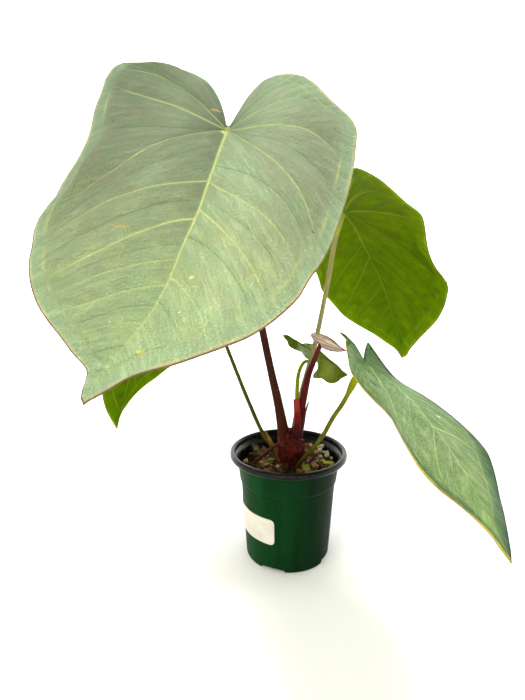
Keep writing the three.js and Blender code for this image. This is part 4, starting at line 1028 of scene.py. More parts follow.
def pot_radius(z):
    if z < POT["step"]:
        return POT["base"] + (POT["body_top"] - POT["base"]) * z / POT["step"]
    share = (z - POT["step"]) / (POT["collar_top"] - POT["step"])
    return POT["collar"] + (POT["collar_top_radius"] - POT["collar"]) * share


def soil_top(x, y):
    hill = 0
    for cx, cy, height, spread in SOIL_HILLS:
        hill = hill + height * np.exp(-((x - cx) ** 2 + (y - cy) ** 2) / (2 * spread ** 2))
    return SOIL_LEVEL + hill + .03 * x + .7 * np.sin(x / 5.1 + 1) * np.cos(y / 6.3)


def chip(name, size, seed, is_round, cuts):
    """Irregular broken bit around the origin, with a few dozen faces."""
    shape = bmesh.new()
    if is_round:
        bmesh.ops.create_icosphere(shape, subdivisions=cuts, radius=.5)
    else:
        bmesh.ops.create_cube(shape, size=1)
        bmesh.ops.subdivide_edges(shape, edges=shape.edges[:], cuts=cuts, use_grid_fill=True)
    draw = np.random.default_rng(seed)
    for vertex in shape.verts:
        push = draw.normal(0, .07, 3)
        vertex.co = Vector(vertex.co) * (1 + .12 * draw.normal()) + Vector(push)
        vertex.co = Vector([c * s * MM for c, s in zip(vertex.co, size)])
    bmesh.ops.recalc_face_normals(shape, faces=shape.faces[:])
    mesh = bpy.data.meshes.new(name)
    shape.to_mesh(mesh)
    shape.free()
    return bpy.data.objects.new(name, mesh)


# Looks of the blades: ground tones along the midrib (mm from the petiole), then painted light and shade:
# how bright the blade is from its left edge (negative, mm) to its right one, near the petiole and near the
# tip.
# The crease tone and the ridging are painted shade in the grooves and wrinkles.
LEAF_LOOKS = {
    "all": {"mottle": "#93a878", "mottling": .5, "vein": "#d0d886", "crease": "#5c7050", "wrinkle": .12,
            "net": .05, "relief": .9, "ridging": .12, "gloss": .18, "seam": "#dcd096", "seam_strength": .8,
            "edge": "#6a4228", "edge_base": .25, "glow": .12, "shade": [(-130, .95), (130, .95)],
            "tip_shade": [(-130, .95), (130, .95)], "field": "#93a878", "field_amount": .3,
            "border": "#93a878", "border_width": 9.0, "border_amount": .3},
    "under": {"crease": "#3c5c0c", "net": .12, "wrinkle": .08, "gloss": .0, "relief": .6},
    "large": {"ground": [(-60, "#90a480"), (20, "#9ba884"), (90, "#aab985"), (150, "#b0c688"),
        (211, "#b6cd8c")], "mottle": "#9dba90", "vein": "#d6e08e", "field": "#a8a888", "field_amount": .45,
        "border": "#a3c096", "border_amount": .6, "border_width": 16.0,
        "shade": [(-95, .7), (-60, .9), (-25, 1.2), (-2, 1.04), (1.5, .6), (16, .72), (45, .84), (80, .66),
        (115, .62)], "edge_width": 1.35, "tip_shade": [(-90, .94), (-30, 1.2), (-1, 1), (2, .88),
        (50, .88), (110, .78)]},
    "under_large": {"ground": [(-60, "#8fae50"), (211, "#a5c05e")], "mottle": "#9ab850",
        "field": "#a0bc58", "border": "#a8c060"},
    "back": {"ground": [(-57, "#6f8f58"), (190, "#7fa560")], "mottle": "#86ab68", "glow": .3,
        "vein": "#c6d87c", "edge": "#6a5a3a", "field": "#86ab68", "border": "#86ab68"},
    "under_back": {"ground": [(-57, "#70853a"), (0, "#6a8018"), (60, "#5f7b06"), (190, "#577a02")],
        "mottle": "#6f8e06", "mottling": .35, "vein": "#92aa34", "seam": "#a8bc34", "edge": "#34342c",
        "edge_width": 1.5, "field": "#84a404", "field_amount": .5, "border": "#80a202",
        "border_amount": .5, "border_width": 14.0, "ridging": .16},
    "right": {"ground": [(-50, "#729f6a"), (10, "#7ea268"), (60, "#7e9b5c"), (130, "#869e5a"),
        (164, "#84a84a"), (174, "#a0a828"), (182, "#c89a20")], "mottle": "#5e884a", "vein": "#bcd080",
        "seam": "#d8d02c", "seam_far": "#48683c", "edge": "#b48c1c", "edge_far": "#26322c",
        "edge_base": .9, "edge_width": 1.9, "seam_strength": 1.0, "wrinkle": .3, "crease": "#3c5c34",
        "field": "#a0b47c", "border": "#1f5234", "border_amount": 1.0, "border_width": 13.0,
        "ridging": .22, "shade": [(-60, .86), (-20, 1), (15, 1), (60, .9)], "gloss": .08},
    "under_right": {"ground": [(-50, "#6a8f2a"), (180, "#86aa3a")], "mottle": "#90b048",
        "field": "#90b048", "border": "#90b048"},
    "left": {"ground": [(-49, "#6a9048"), (174, "#84a860")], "mottle": "#93b46e", "glow": .3,
        "edge": "#7a5a3a", "field": "#93b46e", "border": "#93b46e"},
    "under_left": {"ground": [(-49, "#5c7e02"), (174, "#5c8200")], "mottle": "#688a02", "vein": "#a8bd48",
        "seam": "#b9c030", "edge": "#7a5a2a", "field": "#6c9000", "field_amount": .5, "border": "#6c9000",
        "border_amount": .5},
    # The small leaf's pale band (-12 to 0 mm) is partly its glaucous bloom and partly a painted sheen.
    "small": {"ground": [(-36, "#6c801c"), (-18, "#748820"), (-12, "#dcf4c0"), (0, "#d4f0b8"),
        (7, "#8c9e30"), (11, "#b8c454"), (19, "#b4bc54"), (25, "#788a1c"), (37, "#7e842a")],
        "mottle": "#7c8e28", "mottling": .2, "vein": "#b4c060", "seam": "#a4b43c", "edge": "#5a6420",
        "glow": .15, "field": "#829424", "border": "#50600a"},
    "under_small": {"ground": [(-36, "#64780c"), (36, "#7c9018")], "mottle": "#86983a", "field": "#86983a",
        "border": "#86983a"},
}

# Scars and specks: place (mm along and to the right of the midrib), half length, half width, colour.
LEAF_MARKS = {
    "large": [(-17.2, 15.6, 1.1, 4.2, "#cdb880"), (97.5, 39, .7, 6.5, "#c2b264"),
        (120, -22, 1.1, 1.8, "#e4e6a4"), (143, -22, .7, .7, "#e8e8b0"), (160, 16, .8, 1.0, "#eeeab4"),
        (172, -9, 1.6, 3.4, "#d3d87c"), (66.5, -82, 1.0, .8, "#4e5c48"), (126, -27, .8, 2.6, "#c8d490")],
    "right": [(58, -37, 1.3, 2.4, "#e6ecc8"), (-18, 4.7, 3, 2.8, "#2c4a38"),
        (-11, 5.5, 3.2, 2.6, "#2c4a38"), (27, 19, 3.4, 2.8, "#26442e"), (34, 18, 2.4, 2, "#2c4a34"),
        (64, 43, 3.4, 2.8, "#2c4a34")],
    "left": [(150, -20, 1.5, 1.5, "#c8c840")],
}

# Tones from the foot (0) to the blade (1), amount of specks, least roughness.
PETIOLE_LOOKS = {
    "large": ([(0, "#60200e"), (.07, "#411a0a"), (.3, "#381a09"), (.75, "#3e2010"), (.93, "#5a3a26")],
        .12, .5),
    "back": ([(0, "#5e3424"), (.1, "#7f7448"), (.4, "#9a9264"), (.9, "#a89c68"), (1, "#aeb848")], .1, .45),
    "right": ([(0, "#301c06"), (.2, "#3c340a"), (.35, "#55560c"), (.7, "#6a6c10"), (.84, "#868a08"),
        (1, "#9a9c06")], .08, .5),
    "left": ([(0, "#5a3006"), (.14, "#53450a"), (.3, "#444608"), (.9, "#4a5208"), (1, "#7f9a30")], .08, .5),
    "small": ([(0, "#7a8408"), (.5, "#8a920a"), (1, "#98a41c")], .05, .5),
}

# Material, tones from the foot (0) to the top (1), least roughness.
BRACT_LOOKS = {
    "red": ("bract_fleshy_red_grown", [(0, "#2c0604"), (.3, "#560402"), (.55, "#800a08"),
        (.85, "#981c1c"), (1, "#a83834")], .5),
    "dark": ("bract_fleshy_dark_grown", [(0, "#2a0a06"), (.5, "#4e1410"), (1, "#5c241a")], .4),
    "ochre": ("bract_papery_ochre_dried", [(0, "#5a3c14"), (.5, "#a87c2c"), (1, "#b88a3c")], .6),
}

# Old leaf scars and dry nubs on the crown: place, size (mm), turn and tilt (degrees), and tone.
CROWN_SCALES = [
    (7.7, -13.7, 116, 5, 3, 4.4, 10, 0, 0), (4.2, -15.2, 112, 6, 3, 3.6, -15, 10, 0),
    (-2, -14, 109, 5, 3, 4, 20, 0, 0), (12.5, -9, 112.5, 4, 4, 5, 30, 0, 0),
    (10.7, -10.6, 102, 6, 3.6, 4, 0, 15, 0), (-7.5, -9, 110.5, 4, 4, 5, 0, 0, 0),
    (5.5, -10, 121.2, 5, 3.4, 4, 0, 0, 0), (10.5, -5.5, 118, 4, 4, 6, 0, 10, 0),
    (-5.5, -11.8, 103.5, 5, 3, 5, 15, 0, 0), (1, -14.8, 98.5, 5, 3, 4, 0, 0, 0),
    (6.5, -13.8, 97, 4, 3, 5, 30, 0, 0), (13, -8, 105, 4, 4, 5, 0, 0, 0),
    (1.5, -14.6, 117, 4, 3, 3.4, 0, 0, 0),
]
CROWN_NUBS = [
    (-.5, -12.2, 120, 2.8, 2.2, 5.4, 0, 25, 0), (-3.2, -13.3, 115, 3.6, 2.2, 2, 20, 0, 0),
    (13, -4, 121.3, 2.4, 2.2, 3, 0, 0, 0), (2.5, -15.2, 103.4, 3, 2.4, 2.6, 0, 20, 0),
]
# Single bits on the mix: place, size (mm), turn and tilt (degrees), and tone.
PERLITE_LUMPS = [
    (33, 29, 93.6, 5.2, 4.6, 4.2, 20, 10, .9), (31, 25, 91.4, 5.4, 5, 4.6, 70, 0, .95),
    (37, 15.5, 90.6, 5.6, 5.2, 4.6, 10, 20, .8), (22, 35.5, 91.6, 5, 4.4, 4, 40, 0, .6),
    (27, 22, 91, 4.2, 3.6, 3.2, 0, 0, .35), (41, 9.5, 90, 3.6, 3.4, 3.2, 60, 0, .5),
    (-40, 2.5, 88.4, 5, 4.4, 4.2, 15, 0, .25), (-9.4, -12.5, 90.2, 2.6, 2.2, 6.4, 0, 25, .9),
    (29, 30.5, 92.6, 3, 2.8, 2.6, 0, 0, .8), (34.5, 20, 91.4, 3.2, 2.6, 2.8, 30, 0, .6),
    (24, 29.5, 91.6, 2.8, 2.6, 2.4, 0, 0, .3), (38, 21, 91.4, 3, 2.6, 2.6, 0, 0, .9),
    (14, 30, 90, 3.4, 3, 2.8, 50, 0, .2), (-20, -6, 89.2, 3, 2.4, 2.2, 0, 0, .1),
]
BARK_PIECES = [
    (24, -9, 89.8, 7, 5.6, 5, 30, 20, .98), (20, 6, 90.4, 5, 4.6, 4, 0, 0, .9),
    (-2, -13.5, 91, 4.4, 3, 9.5, 5, 6, .62), (9, 22, 91.4, 10, 4, 4, 8, 0, .66),
    (18.5, 33, 92.4, 5, 4, 5.4, 0, 10, .85), (-33, 26, 92, 9, 8, 6, 30, 10, .42),
    (-27, 13, 90.4, 7, 6.4, 4, 70, 0, .5), (-35, 11, 90.6, 6, 6, 5, 10, 0, .4),
    (-16, -12, 89.6, 9, 3.6, 3, -40, 10, .3), (12, -14, 89.4, 6, 4, 4, 60, 0, .35),
    (30, -8, 89.2, 6, 4, 3, -20, 0, .55), (-30, -8, 88.6, 7, 4, 3.4, 20, 0, .45),
]
MOSS_PIECES = [
    (16, -13.5, 90, 8.4, 7.4, 3, 20, 35, .85), (37, -1, 89.6, 12, 6, 2.6, -10, 12, .98),
    (32, 4, 89.4, 7, 5, 2.6, 40, 0, .8), (-24, -4, 89.4, 5, 5, 4, 0, 0, .62),
    (-17, 1, 90, 6, 5, 4, 30, 0, .55), (-31, 21, 91.4, 7, 6, 5, 0, 0, .2),
]


def pile(name, shapes, items, material):
    """One object from single bits, each a turned and stretched copy of a stock shape."""
    points, faces, tones = [], [], []
    for k, (x, y, z, long, wide, high, yaw, tilt, tone) in enumerate(items):
        mesh = shapes[k % len(shapes)].data
        co = np.array([v.co for v in mesh.vertices])
        co = co / np.ptp(co, axis=0) * (long, wide, high)
        faces += [[len(points) + i for i in face.vertices] for face in mesh.polygons]
        turned_by = turn_matrix(2, radians(yaw)) @ turn_matrix(0, radians(tilt))
        points += list(co @ turned_by.T + (x, y, z))
        tones += [tone] * len(co)
    thing = mesh_object(name, points, faces, [material], sharp=40)
    store(thing, "tone", tones)
    return thing


# Settings that a user would change.


def length_property(name, description, default, low, high):
    return FloatProperty(name=name, description=description, default=default, min=low, max=high,
        subtype="DISTANCE", unit="LENGTH")


def color_property(name, description, code):
    return FloatVectorProperty(name=name, description=description, default=linear(code), size=4, min=0,
        max=1, subtype="COLOR")


class AnthuriumLeafSettings(bpy.types.PropertyGroup):
    thickness: length_property("Blade thickness", "Thickness of a blade between its veins", .0005, .0002,
        .002)
    rib_height: length_property("Rib height", "How far the main veins stand out below", .0009, 0, .003)
    quilting: FloatProperty(name="Quilting", default=.16, min=0, max=.3, subtype="FACTOR",
        description="Swelling between two veins, per width of the field")
    collective_inset: length_property("Collective vein inset",
        "Distance of the vein that runs along the margin", .0105, .002, .03)


class AnthuriumPotSettings(bpy.types.PropertyGroup):
    sides: IntProperty(name="Sides", description="Facets around the pot", default=160, min=32, max=360)
    outside: color_property("Outside", "Colour of the pot's outer layer", "#0a3716")
    inside: color_property("Inside", "Colour of the pot's inner layer and rim", "#080808")


class AnthuriumMixSettings(bpy.types.PropertyGroup):
    bark_spacing: length_property("Bark spacing", "Least distance between two bark chips", .0042, .002, .02)
    perlite_spacing: length_property("Perlite spacing", "Least distance between two perlite grains",
        .0040, .002, .02)
    seed: IntProperty(name="Seed", description="Order of the scattered bits", default=7, min=0, max=999)


class AnthuriumStageSettings(bpy.types.PropertyGroup):
    floor_radius: length_property("Floor radius", "Radius of the flat floor", 2.4, 1, 10)
    paper: color_property("Paper", "Colour of the floor and backdrop", "#fbfaf8")
    lens: FloatProperty(name="Lens", description="Focal length of the camera", default=25.971, min=10,
        max=200, subtype="DISTANCE_CAMERA", unit="CAMERA")


# Operators.


class AnthuriumStage(bpy.types.Operator):
    """Pale floor with a round backdrop, studio lights and the camera"""
    bl_idname = "anthurium.stage"
    bl_label = "Stage, lights and camera"

    def execute(self, context):
        settings = context.scene.anthurium_stage
        reach = settings.floor_radius * 1000
        bowl = [(reach * k / 6, 0) for k in range(7)]
        quarter = [(sin(a), 1 - cos(a)) for a in np.linspace(.1, pi / 2, 14)]
        bowl += [(reach + BACKDROP_BEND * out, BACKDROP_BEND * up) for out, up in quarter]
        bowl += [(reach + BACKDROP_BEND, BACKDROP_BEND + 350 * k) for k in range(1, 6)]
        points, faces = turned([(max(r, .01), z) for r, z in bowl], 72)
        paper = new_material("seamless_paper", seamless_paper, settings.paper)
        floor = mesh_object("studio_floor", points, faces, [paper])

        camera = bpy.data.cameras.new("camera")
        camera.sensor_fit = "VERTICAL"
        camera.sensor_height = CAMERA["sensor"]
        camera.lens = settings.lens
        camera.clip_start = .01
        eye = linked("camera", camera)
        eye.location = CAMERA["place"]
        eye.rotation_euler = (radians(CAMERA["pitch"]), 0, radians(CAMERA["heading"]))
        context.scene.camera = eye

        lamps = (
            # name, kind, place, aim, width or angle, power, colour
            ("window_light", "SUN", (-.9, -1.0, 1.2), (0, 0, 0), radians(25), 1.2, "#fffdf6"),
            ("skylight", "SUN", (.5, .3, 1.6), (0, 0, 0), radians(20), 2.1, "#ffffff"),
            ("backdrop_left", "AREA", (-1.6, .9, 1.6), (-.9, 3.4, .7), 1.2, 90, "#ffffff"),
            ("backdrop_right", "AREA", (1.6, .9, 1.6), (.9, 3.4, .7), 1.2, 90, "#ffffff"),
        )
        for name, kind, place, aim, width, power, code in lamps:
            data = bpy.data.lights.new(name, kind)
            if kind == "SUN":
                data.angle = width
            else:
                data.shape, data.size = "SQUARE", width
            data.energy = power
            data.color = linear(code)[:3]
            lamp = linked(name, data)
            lamp.location = place
            lamp.rotation_euler = (Vector(aim) - Vector(place)).to_track_quat("-Z", "Y").to_euler()

        world = bpy.data.worlds.new("studio_air")
        world.use_nodes = True
        sky = world.node_tree.nodes["Background"]
        sky.inputs["Color"].default_value = linear("#fbfbff")
        sky.inputs["Strength"].default_value = .5
        context.scene.world = world
        context.scene.view_settings.view_transform = "Standard"
        return {"FINISHED"}


class AnthuriumPot(bpy.types.Operator):
    """Nursery pot: green outside, black inside and at its rolled rim, with drain notches"""
    bl_idname = "anthurium.pot"
    bl_label = "Nursery pot"

    def execute(self, context):
        settings = context.scene.anthurium_pot
        h, wall, drop, floor = POT["height"], POT["wall"], POT["rim_drop"], POT["floor"]
        step, top, rim = POT["step"], POT["collar_top"], POT["rim"]

        def inner(z):
            return pot_radius(z) - wall

        outer = [(.01, 0), (30, 0), (POT["base"] - 1.6, 0), (POT["base"] - .9, .1),
            (POT["base"] - .3, .45), (POT["base"], 1.1)]
        outer += [(pot_radius(z) + .12 * sin(z * .9) * (z > 66), z) for z in np.linspace(3, step - 1.4, 40)]
        outer += [(pot_radius(step - 1) + .05, step - .9), (pot_radius(step - 1) + .45, step - .4),
            (pot_radius(step + 1) - .25, step), (pot_radius(step + 1), step + .5)]
        outer += [(pot_radius(z), z) for z in np.linspace(step + 1.5, top, 12)]
        outer += [(pot_radius(top) + .3, top + 1.6), (pot_radius(top) + 1.1, h - drop - .7)]
        rim_line = [(rim - 3.2, h - drop - .35), (rim - 1.2, h - drop), (rim - .45, h - drop + .3),
            (rim - .05, h - drop + .9), (rim, h - drop + 1.6), (rim, h - 2), (rim - .25, h - 1.1),
            (rim - .9, h - .45), (rim - 1.8, h - .1), (rim - 2.8, h), (rim - 3.7, h - .25),
            (rim - 4.25, h - .9), (rim - 4.5, h - 2), (rim - 4.7, h - drop + .6)]
        lining = [(inner(top) + 1.6, h - drop - .6), (inner(top) + .3, top + .6), (inner(top), top - .4)]
        lining += [(inner(z), z) for z in np.linspace(top - 2, step + 2, 8)]
        lining += [(inner(step + .5), step + .5 + wall), (inner(step - .5), step - .5 + wall)]
        lining += [(inner(z), z) for z in np.linspace(step - 3, floor + 1, 8)]
        lining += [(inner(floor) - 1, floor), (.01, floor)]
        points, faces = turned(outer + rim_line + lining, settings.sides)
        green = new_material("polypropylene_green_moulded", moulded_polypropylene, settings.outside,
            "#052c0e", .22, .34, .04)
        black = new_material("polypropylene_black_moulded", moulded_polypropylene, settings.inside,
            "#040404", .3, .22, .2)
        kinds = [0 if k // settings.sides < len(outer) - 1 else 1 for k in range(len(faces))]
        pot = mesh_object("nursery_pot", points, faces, [green, black], kinds, sharp=POT_CREASE)
        weld(pot.data, 1e-4, close=True)

        cutters = []
        for k in range(NOTCH["count"]):
            angle = radians(NOTCH["first"] + 360 / NOTCH["count"] * k)
            shape = bmesh.new()
            bmesh.ops.create_cube(shape, size=1)
            for vertex in shape.verts:
                x, y, z = vertex.co
                wide = NOTCH["width"] - NOTCH["taper"] * (z > 0)
                x, y, z = (POT["base"] + NOTCH["depth"] * x) * MM, wide * y * MM, NOTCH["height"] * z * MM
                vertex.co = (x * cos(angle) - y * sin(angle), x * sin(angle) + y * cos(angle), z)
            bmesh.ops.bevel(shape, geom=[e for e in shape.edges if all(v.co.z > 0 for v in e.verts)],
                offset=NOTCH["corner"] * MM, segments=3, affect="EDGES", profile=.5)
            mesh = bpy.data.meshes.new("notch_cutter")
            shape.to_mesh(mesh)
            shape.free()
            cutter = linked("notch_cutter", mesh)
            cut = pot.modifiers.new("Notch", "BOOLEAN")
            cut.operation, cut.solver, cut.object = "DIFFERENCE", "EXACT", cutter
            cutters.append(cutter)
        mesh = baked(pot)
        pot.modifiers.clear()
        pot.data = mesh
        shade(mesh, POT_CREASE)
        for cutter in cutters:
            bpy.data.objects.remove(cutter)
        settle(pot, ["pot"])
        return {"FINISHED"}


class AnthuriumLabel(bpy.types.Operator):
    """Cream sticker with round corners around the pot's left front"""
    bl_idname = "anthurium.label"
    bl_label = "Label"

    def execute(self, context):
        columns, rows = 72, 12
        width, height, corner = LABEL["width"], LABEL["height"], LABEL["corner"]
        middle = LABEL["bottom"] + height / 2
        grid = np.zeros((columns + 1, rows + 1, 3))
        bends = np.linspace(-1, 1, columns + 1)
        bends = np.sign(bends) * (1 - (1 - np.abs(bends)) ** 1.25)
        for i, place in enumerate(bends * width / 2):
            past = max(0, abs(place) - (width / 2 - corner))
            half = height / 2 - corner + max(corner ** 2 - past ** 2, 0) ** .5
            for j in range(rows + 1):
                z = middle + (1 - 2 * j / rows) * half - place * sin(radians(LABEL["tilt"]))
                ripple = .06 * sin(place * .31 + z * .2)
                radius = pot_radius(z) + LABEL["gap"] + LABEL["thickness"] + ripple
                angle = radians(LABEL["angle"]) + place / pot_radius(middle)
                grid[i, j] = radius * cos(angle), radius * sin(angle), z
        paper = new_material("label_paper_coated", coated_paper)
        sticker, _ = sheet_object("pot_label", grid, LABEL["thickness"] + .1, paper)
        settle(sticker, ["label"])
        return {"FINISHED"}


class AnthuriumMix(bpy.types.Operator):
    """Potting mix: fines, bark chips and perlite grains, scattered over a low mound"""
    bl_idname = "anthurium.mix"
    bl_label = "Bark mix"

    def execute(self, context):
        settings = context.scene.anthurium_mix
        reach = pot_radius(85) - POT["wall"] - .6
        rings, sides = 60, 150
        points = [(0, 0, float(soil_top(0, 0)))]
        draw = np.random.default_rng(settings.seed)
        for i in range(1, rings + 1):
            radius = reach * i / rings
            for k in range(sides):
                angle = 2 * pi * k / sides
                x, y = radius * cos(angle), radius * sin(angle)
                crumb = draw.uniform(-.55, .55) * (i < rings)
                points.append((x, y, float(soil_top(x, y)) + crumb - 1.2 * (i / rings) ** 8))
        surface = np.array(points)
        # Walls and floor of the filling: height in mm, and the reach's share.
        walls = ((76.5, .99), (20, .88), (2, .84))
        for depth, shrink in walls:
            for k in range(sides):
                angle = 2 * pi * k / sides
                radius = min(reach * shrink, pot_radius(depth) - POT["wall"] - .5)
                points.append((radius * cos(angle), radius * sin(angle), depth))
        faces = [(0, 1 + k, 1 + (k + 1) % sides) for k in range(sides)]
        faces += ring_faces(rings - 1 + len(walls), sides, 1, flip=True)
        surface_faces = faces[:rings * sides]
        faces.append(tuple(reversed(range(len(points) - sides, len(points)))))
        fines = new_material("potting_fines_crushed", mix_material,
            [(.1, "#120b06"), (.5, "#2c1c10"), (.9, "#4a3320")], 1.6, 1.1)
        ground = mesh_object("potting_mix", points, faces, [fines], sharp=80)
        store(ground, "tone", draw.uniform(.1, .9, len(points)))
        settle(ground, ["soil"])

        bark = new_material("bark_chips_crushed", mix_material, [(.0, "#1c0f07"), (.35, "#3c2413"),
            (.6, "#5e3a20"), (.8, "#8a5c34"), (1.0, "#b8824e")], 2.5, .9)
        perlite = new_material("perlite_expanded", mix_material, [(.0, "#d6b498"), (.5, "#f6dcc4"),
            (1.0, "#ffecd8")], 1.0, .6)
        moss = new_material("moss_bits_dried", mix_material, [(.0, "#4a4414"), (.5, "#84802a"),
            (1.0, "#b0b030")], 1.5, .8)
        # Sizes of the stock shapes in mm, first seed, whether they are round, cuts.
        shapes = {
            "bark": ([(7, 4, 2.4), (5.5, 4, 3), (8.5, 3, 2), (5, 4.5, 3.4), (6.5, 2.6, 1.8)], 30, False, 2),
            "perlite": ([(4, 3.6, 3.2), (3.4, 3.8, 3.3), (4.6, 3.7, 3.5)], 60, True, 2),
            "splinter": ([(6, 1.0, .7), (8.5, .8, .7), (4.5, 1.3, .8)], 80, False, 1),
        }
        stock = {key: [chip(f"{key}_{k}", size, seed + k, is_round, cuts) for k, size in enumerate(sizes)]
            for key, (sizes, seed, is_round, cuts) in shapes.items()}
        collections = {}
        for key, bits in stock.items():
            collections[key] = bpy.data.collections.new(key + "_stock")
            for bit in bits:
                collections[key].objects.link(bit)

        px, py, spread = PERLITE_PATCH
        patch = np.exp(-((surface[:, 0] - px) ** 2 + (surface[:, 1] - py) ** 2) / (2 * spread ** 2))
        edge_free = 1 - smooth_step(reach - 4.5, reach - 3, np.hypot(surface[:, 0], surface[:, 1]))
        layers = (
            # name, bits, spacing, smallest, largest, tilt, weight, material
            ("bark_chips", "bark", settings.bark_spacing, .55, 1.15, .7, edge_free, bark),
            ("bark_splinters", "splinter", .0034, .6, 1.2, .45, edge_free, bark),
            ("perlite_grains", "perlite", settings.perlite_spacing, .6, 1.15, pi,
             edge_free * np.clip(.03 + .9 * patch, 0, 1), perlite),
            ("moss_bits", "splinter", .011, .35, .7, .6, edge_free, moss),
        )
        tree = scatter_tree()
        for k, (name, kind, spacing, small, large, tilt, weight, stuff) in enumerate(layers):
            field = mesh_object(name, surface + [0, 0, .4], surface_faces, [])
            store(field, "weight", weight)
            piece = grown(field, tree, Bits=collections[kind], Spacing=spacing, Density=60000.0,
                Smallest=small, Largest=large, Tilt=tilt, Seed=settings.seed + k, Stuff=stuff)
            settle(piece, [])
        for name, kind, stuff, items in (("perlite_lumps", "perlite", perlite, PERLITE_LUMPS),
                ("bark_pieces", "bark", bark, BARK_PIECES), ("moss_pieces", "bark", moss, MOSS_PIECES)):
            settle(pile(name, stock[kind], items, stuff), [])
        for key, bits in stock.items():
            for bit in bits:
                bpy.data.objects.remove(bit)
            bpy.data.collections.remove(collections[key])
        return {"FINISHED"}


class AnthuriumCrown(bpy.types.Operator):
    """Knobbly crown and the aerial root that dives into the mix"""
    bl_idname = "anthurium.crown"
    bl_label = "Crown and aerial root"

    def execute(self, context):
        cork = new_material("crown_cork_grown", corky_crown, "#160403", "#64160e", "#a05c3e")
        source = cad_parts["crown"]
        mesh = source.data.copy()
        mesh.name = "crown_cork"
        mesh.materials.clear()
        mesh.materials.append(cork)
        crown = linked("crown_cork", mesh)
        weld(mesh, 1e-5)
        remesh = crown.modifiers.new("Even", "REMESH")
        remesh.mode, remesh.voxel_size = "VOXEL", .0007
        soften = crown.modifiers.new("Soften", "SMOOTH")
        soften.factor, soften.iterations = .5, 4
        smooth = baked(crown)
        crown.modifiers.clear()
        crown.data = smooth
        co = np.zeros(len(smooth.vertices) * 3)
        smooth.vertices.foreach_get("co", co)
        co = co.reshape(-1, 3)
        no = np.zeros(len(smooth.vertices) * 3, np.float32)
        smooth.vertices.foreach_get("normal", no)
        mm = co / MM
        knob = (.5 * np.sin(mm[:, 0] * 1.3 + np.sin(mm[:, 2] * .7))
            * np.sin(mm[:, 1] * 1.1 + mm[:, 2] * .6) + .28 * np.sin(mm[:, 2] * 2.1 + mm[:, 0] * .8)
            * np.cos(mm[:, 1] * 2.3))
        co += no.reshape(-1, 3) * (knob * 1.3 * MM)[:, None]
        smooth.vertices.foreach_set("co", co.ravel())
        shade(smooth)
        smooth.update()
        settle(crown, ["crown"])
        stock = [chip("scale_shape", (1, 1, 1), 40 + k, False, 3) for k in range(3)]
        dried = new_material("crown_scales_dried", corky_crown, "#3c140a", "#7a3820", "#b07850")
        for name, items, stuff in (("crown_scales", CROWN_SCALES, cork), ("crown_nubs", CROWN_NUBS, dried)):
            settle(pile(name, stock, items, stuff), [])
        for shape in stock:
            bpy.data.objects.remove(shape)

        bark = new_material("aerial_root_cork_grown", corky_crown, "#3a1206", "#5c220e", "#80482a")
        root = stalk("aerial_root_cork", ROOT_ROUTE, ROOT_RADII, bark, unevenness=.0011, lump=.0035)
        settle(root, ["aerial_root"])
        return {"FINISHED"}


class AnthuriumBracts(bpy.types.Operator):
    """Red, dark and ochre bracts that wrap the stems near the crown"""
    bl_idname = "anthurium.bracts"
    bl_label = "Bracts"

    def execute(self, context):
        for key, data in BRACTS.items():
            name, *look = BRACT_LOOKS[key]
            piece = bract(f"bract_{key}", data, new_material(name, bract_skin, *look))
            settle(piece, [f"cataphyll_{key}"])
        return {"FINISHED"}


class AnthuriumPetioles(bpy.types.Operator):
    """Round petioles with a swollen joint under each blade"""
    bl_idname = "anthurium.petioles"
    bl_label = "Petioles"

    def execute(self, context):
        for key, leaf in LEAVES.items():
            skin = new_material(f"petiole_{key}_skin_grown", stem_epidermis, *PETIOLE_LOOKS[key])
            piece = stalk(f"stem_{key}", petiole_route(leaf), leaf["radii"], skin)
            settle(piece, [f"petiole_{key}"])
        return {"FINISHED"}


class AnthuriumLeaves(bpy.types.Operator):
    """Heart-shaped blades with ribs, quilting and a fine margin"""
    bl_idname = "anthurium.leaves"
    bl_label = "Leaf blades"

    def execute(self, context):
        settings = context.scene.anthurium_leaf
        for key, leaf in LEAVES.items():
            upper = dict(LEAF_LOOKS["all"], **LEAF_LOOKS[key])
            under = dict(upper, **LEAF_LOOKS["under"], **LEAF_LOOKS.get("under_" + key, {}))
            marks = LEAF_MARKS.get(key, ())
            skins = [new_material(f"leaf_{key}_upper_cuticle_grown", leaf_epidermis, upper, marks),
                new_material(f"leaf_{key}_lower_cuticle_grown", leaf_epidermis, under)]
            piece = blade(f"leaf_{key}", leaf, skins, settings, size=.35 if key == "small" else 1.0)
            settle(piece, [f"blade_{key}"])
        return {"FINISHED"}


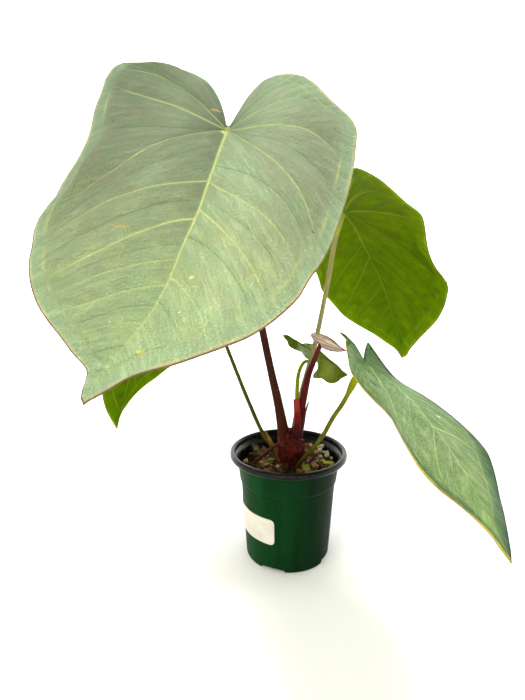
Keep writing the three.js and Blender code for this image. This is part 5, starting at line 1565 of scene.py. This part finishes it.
class AnthuriumNewLeaf(bpy.types.Operator):
    """Furled bronze leaf on its dark red petiole"""
    bl_idname = "anthurium.new_leaf"
    bl_label = "Furled new leaf"

    def execute(self, context):
        cuticle = new_material("furled_leaf_cuticle_grown", furled_epidermis)
        spindle = furled_blade("leaf_new", NEW_LEAF, cuticle)
        settle(spindle, ["blade_new"])
        skin = new_material("petiole_new_skin_grown", stem_epidermis,
            [(0, "#380a06"), (.4, "#52100a"), (.8, "#4a120c"), (1, "#5a2418")], .05, .45)
        stem = stalk("stem_new", NEW_LEAF["petiole"], NEW_LEAF["radii"], skin)
        settle(stem, ["petiole_new"])
        return {"FINISHED"}


class AnthuriumPanel(bpy.types.Panel):
    """Lists the pieces and their settings"""
    bl_idname = "VIEW3D_PT_anthurium"
    bl_label = "Potted anthurium"
    bl_space_type = "VIEW_3D"
    bl_region_type = "UI"
    bl_category = "Anthurium"

    def draw(self, context):
        for settings in (context.scene.anthurium_leaf, context.scene.anthurium_pot,
                context.scene.anthurium_mix, context.scene.anthurium_stage):
            box = self.layout.box()
            for name in settings.__annotations__:
                box.prop(settings, name)
        for operator in OPERATORS:
            self.layout.operator(operator.bl_idname)


GROUPS = {"anthurium_leaf": AnthuriumLeafSettings, "anthurium_pot": AnthuriumPotSettings,
          "anthurium_mix": AnthuriumMixSettings, "anthurium_stage": AnthuriumStageSettings}
OPERATORS = (AnthuriumStage, AnthuriumPot, AnthuriumLabel, AnthuriumMix, AnthuriumCrown, AnthuriumBracts,
    AnthuriumPetioles, AnthuriumLeaves, AnthuriumNewLeaf)


def register():
    for item in (*GROUPS.values(), *OPERATORS, AnthuriumPanel):
        bpy.utils.register_class(item)
    for name, group in GROUPS.items():
        setattr(bpy.types.Scene, name, PointerProperty(type=group))


def unregister():
    for name in GROUPS:
        delattr(bpy.types.Scene, name)
    for item in reversed((*GROUPS.values(), *OPERATORS, AnthuriumPanel)):
        bpy.utils.unregister_class(item)


def main():
    register()
    for operator in OPERATORS:
        group, action = operator.bl_idname.split(".")
        getattr(getattr(bpy.ops, group), action)()


if __name__ == "__main__":
    main()
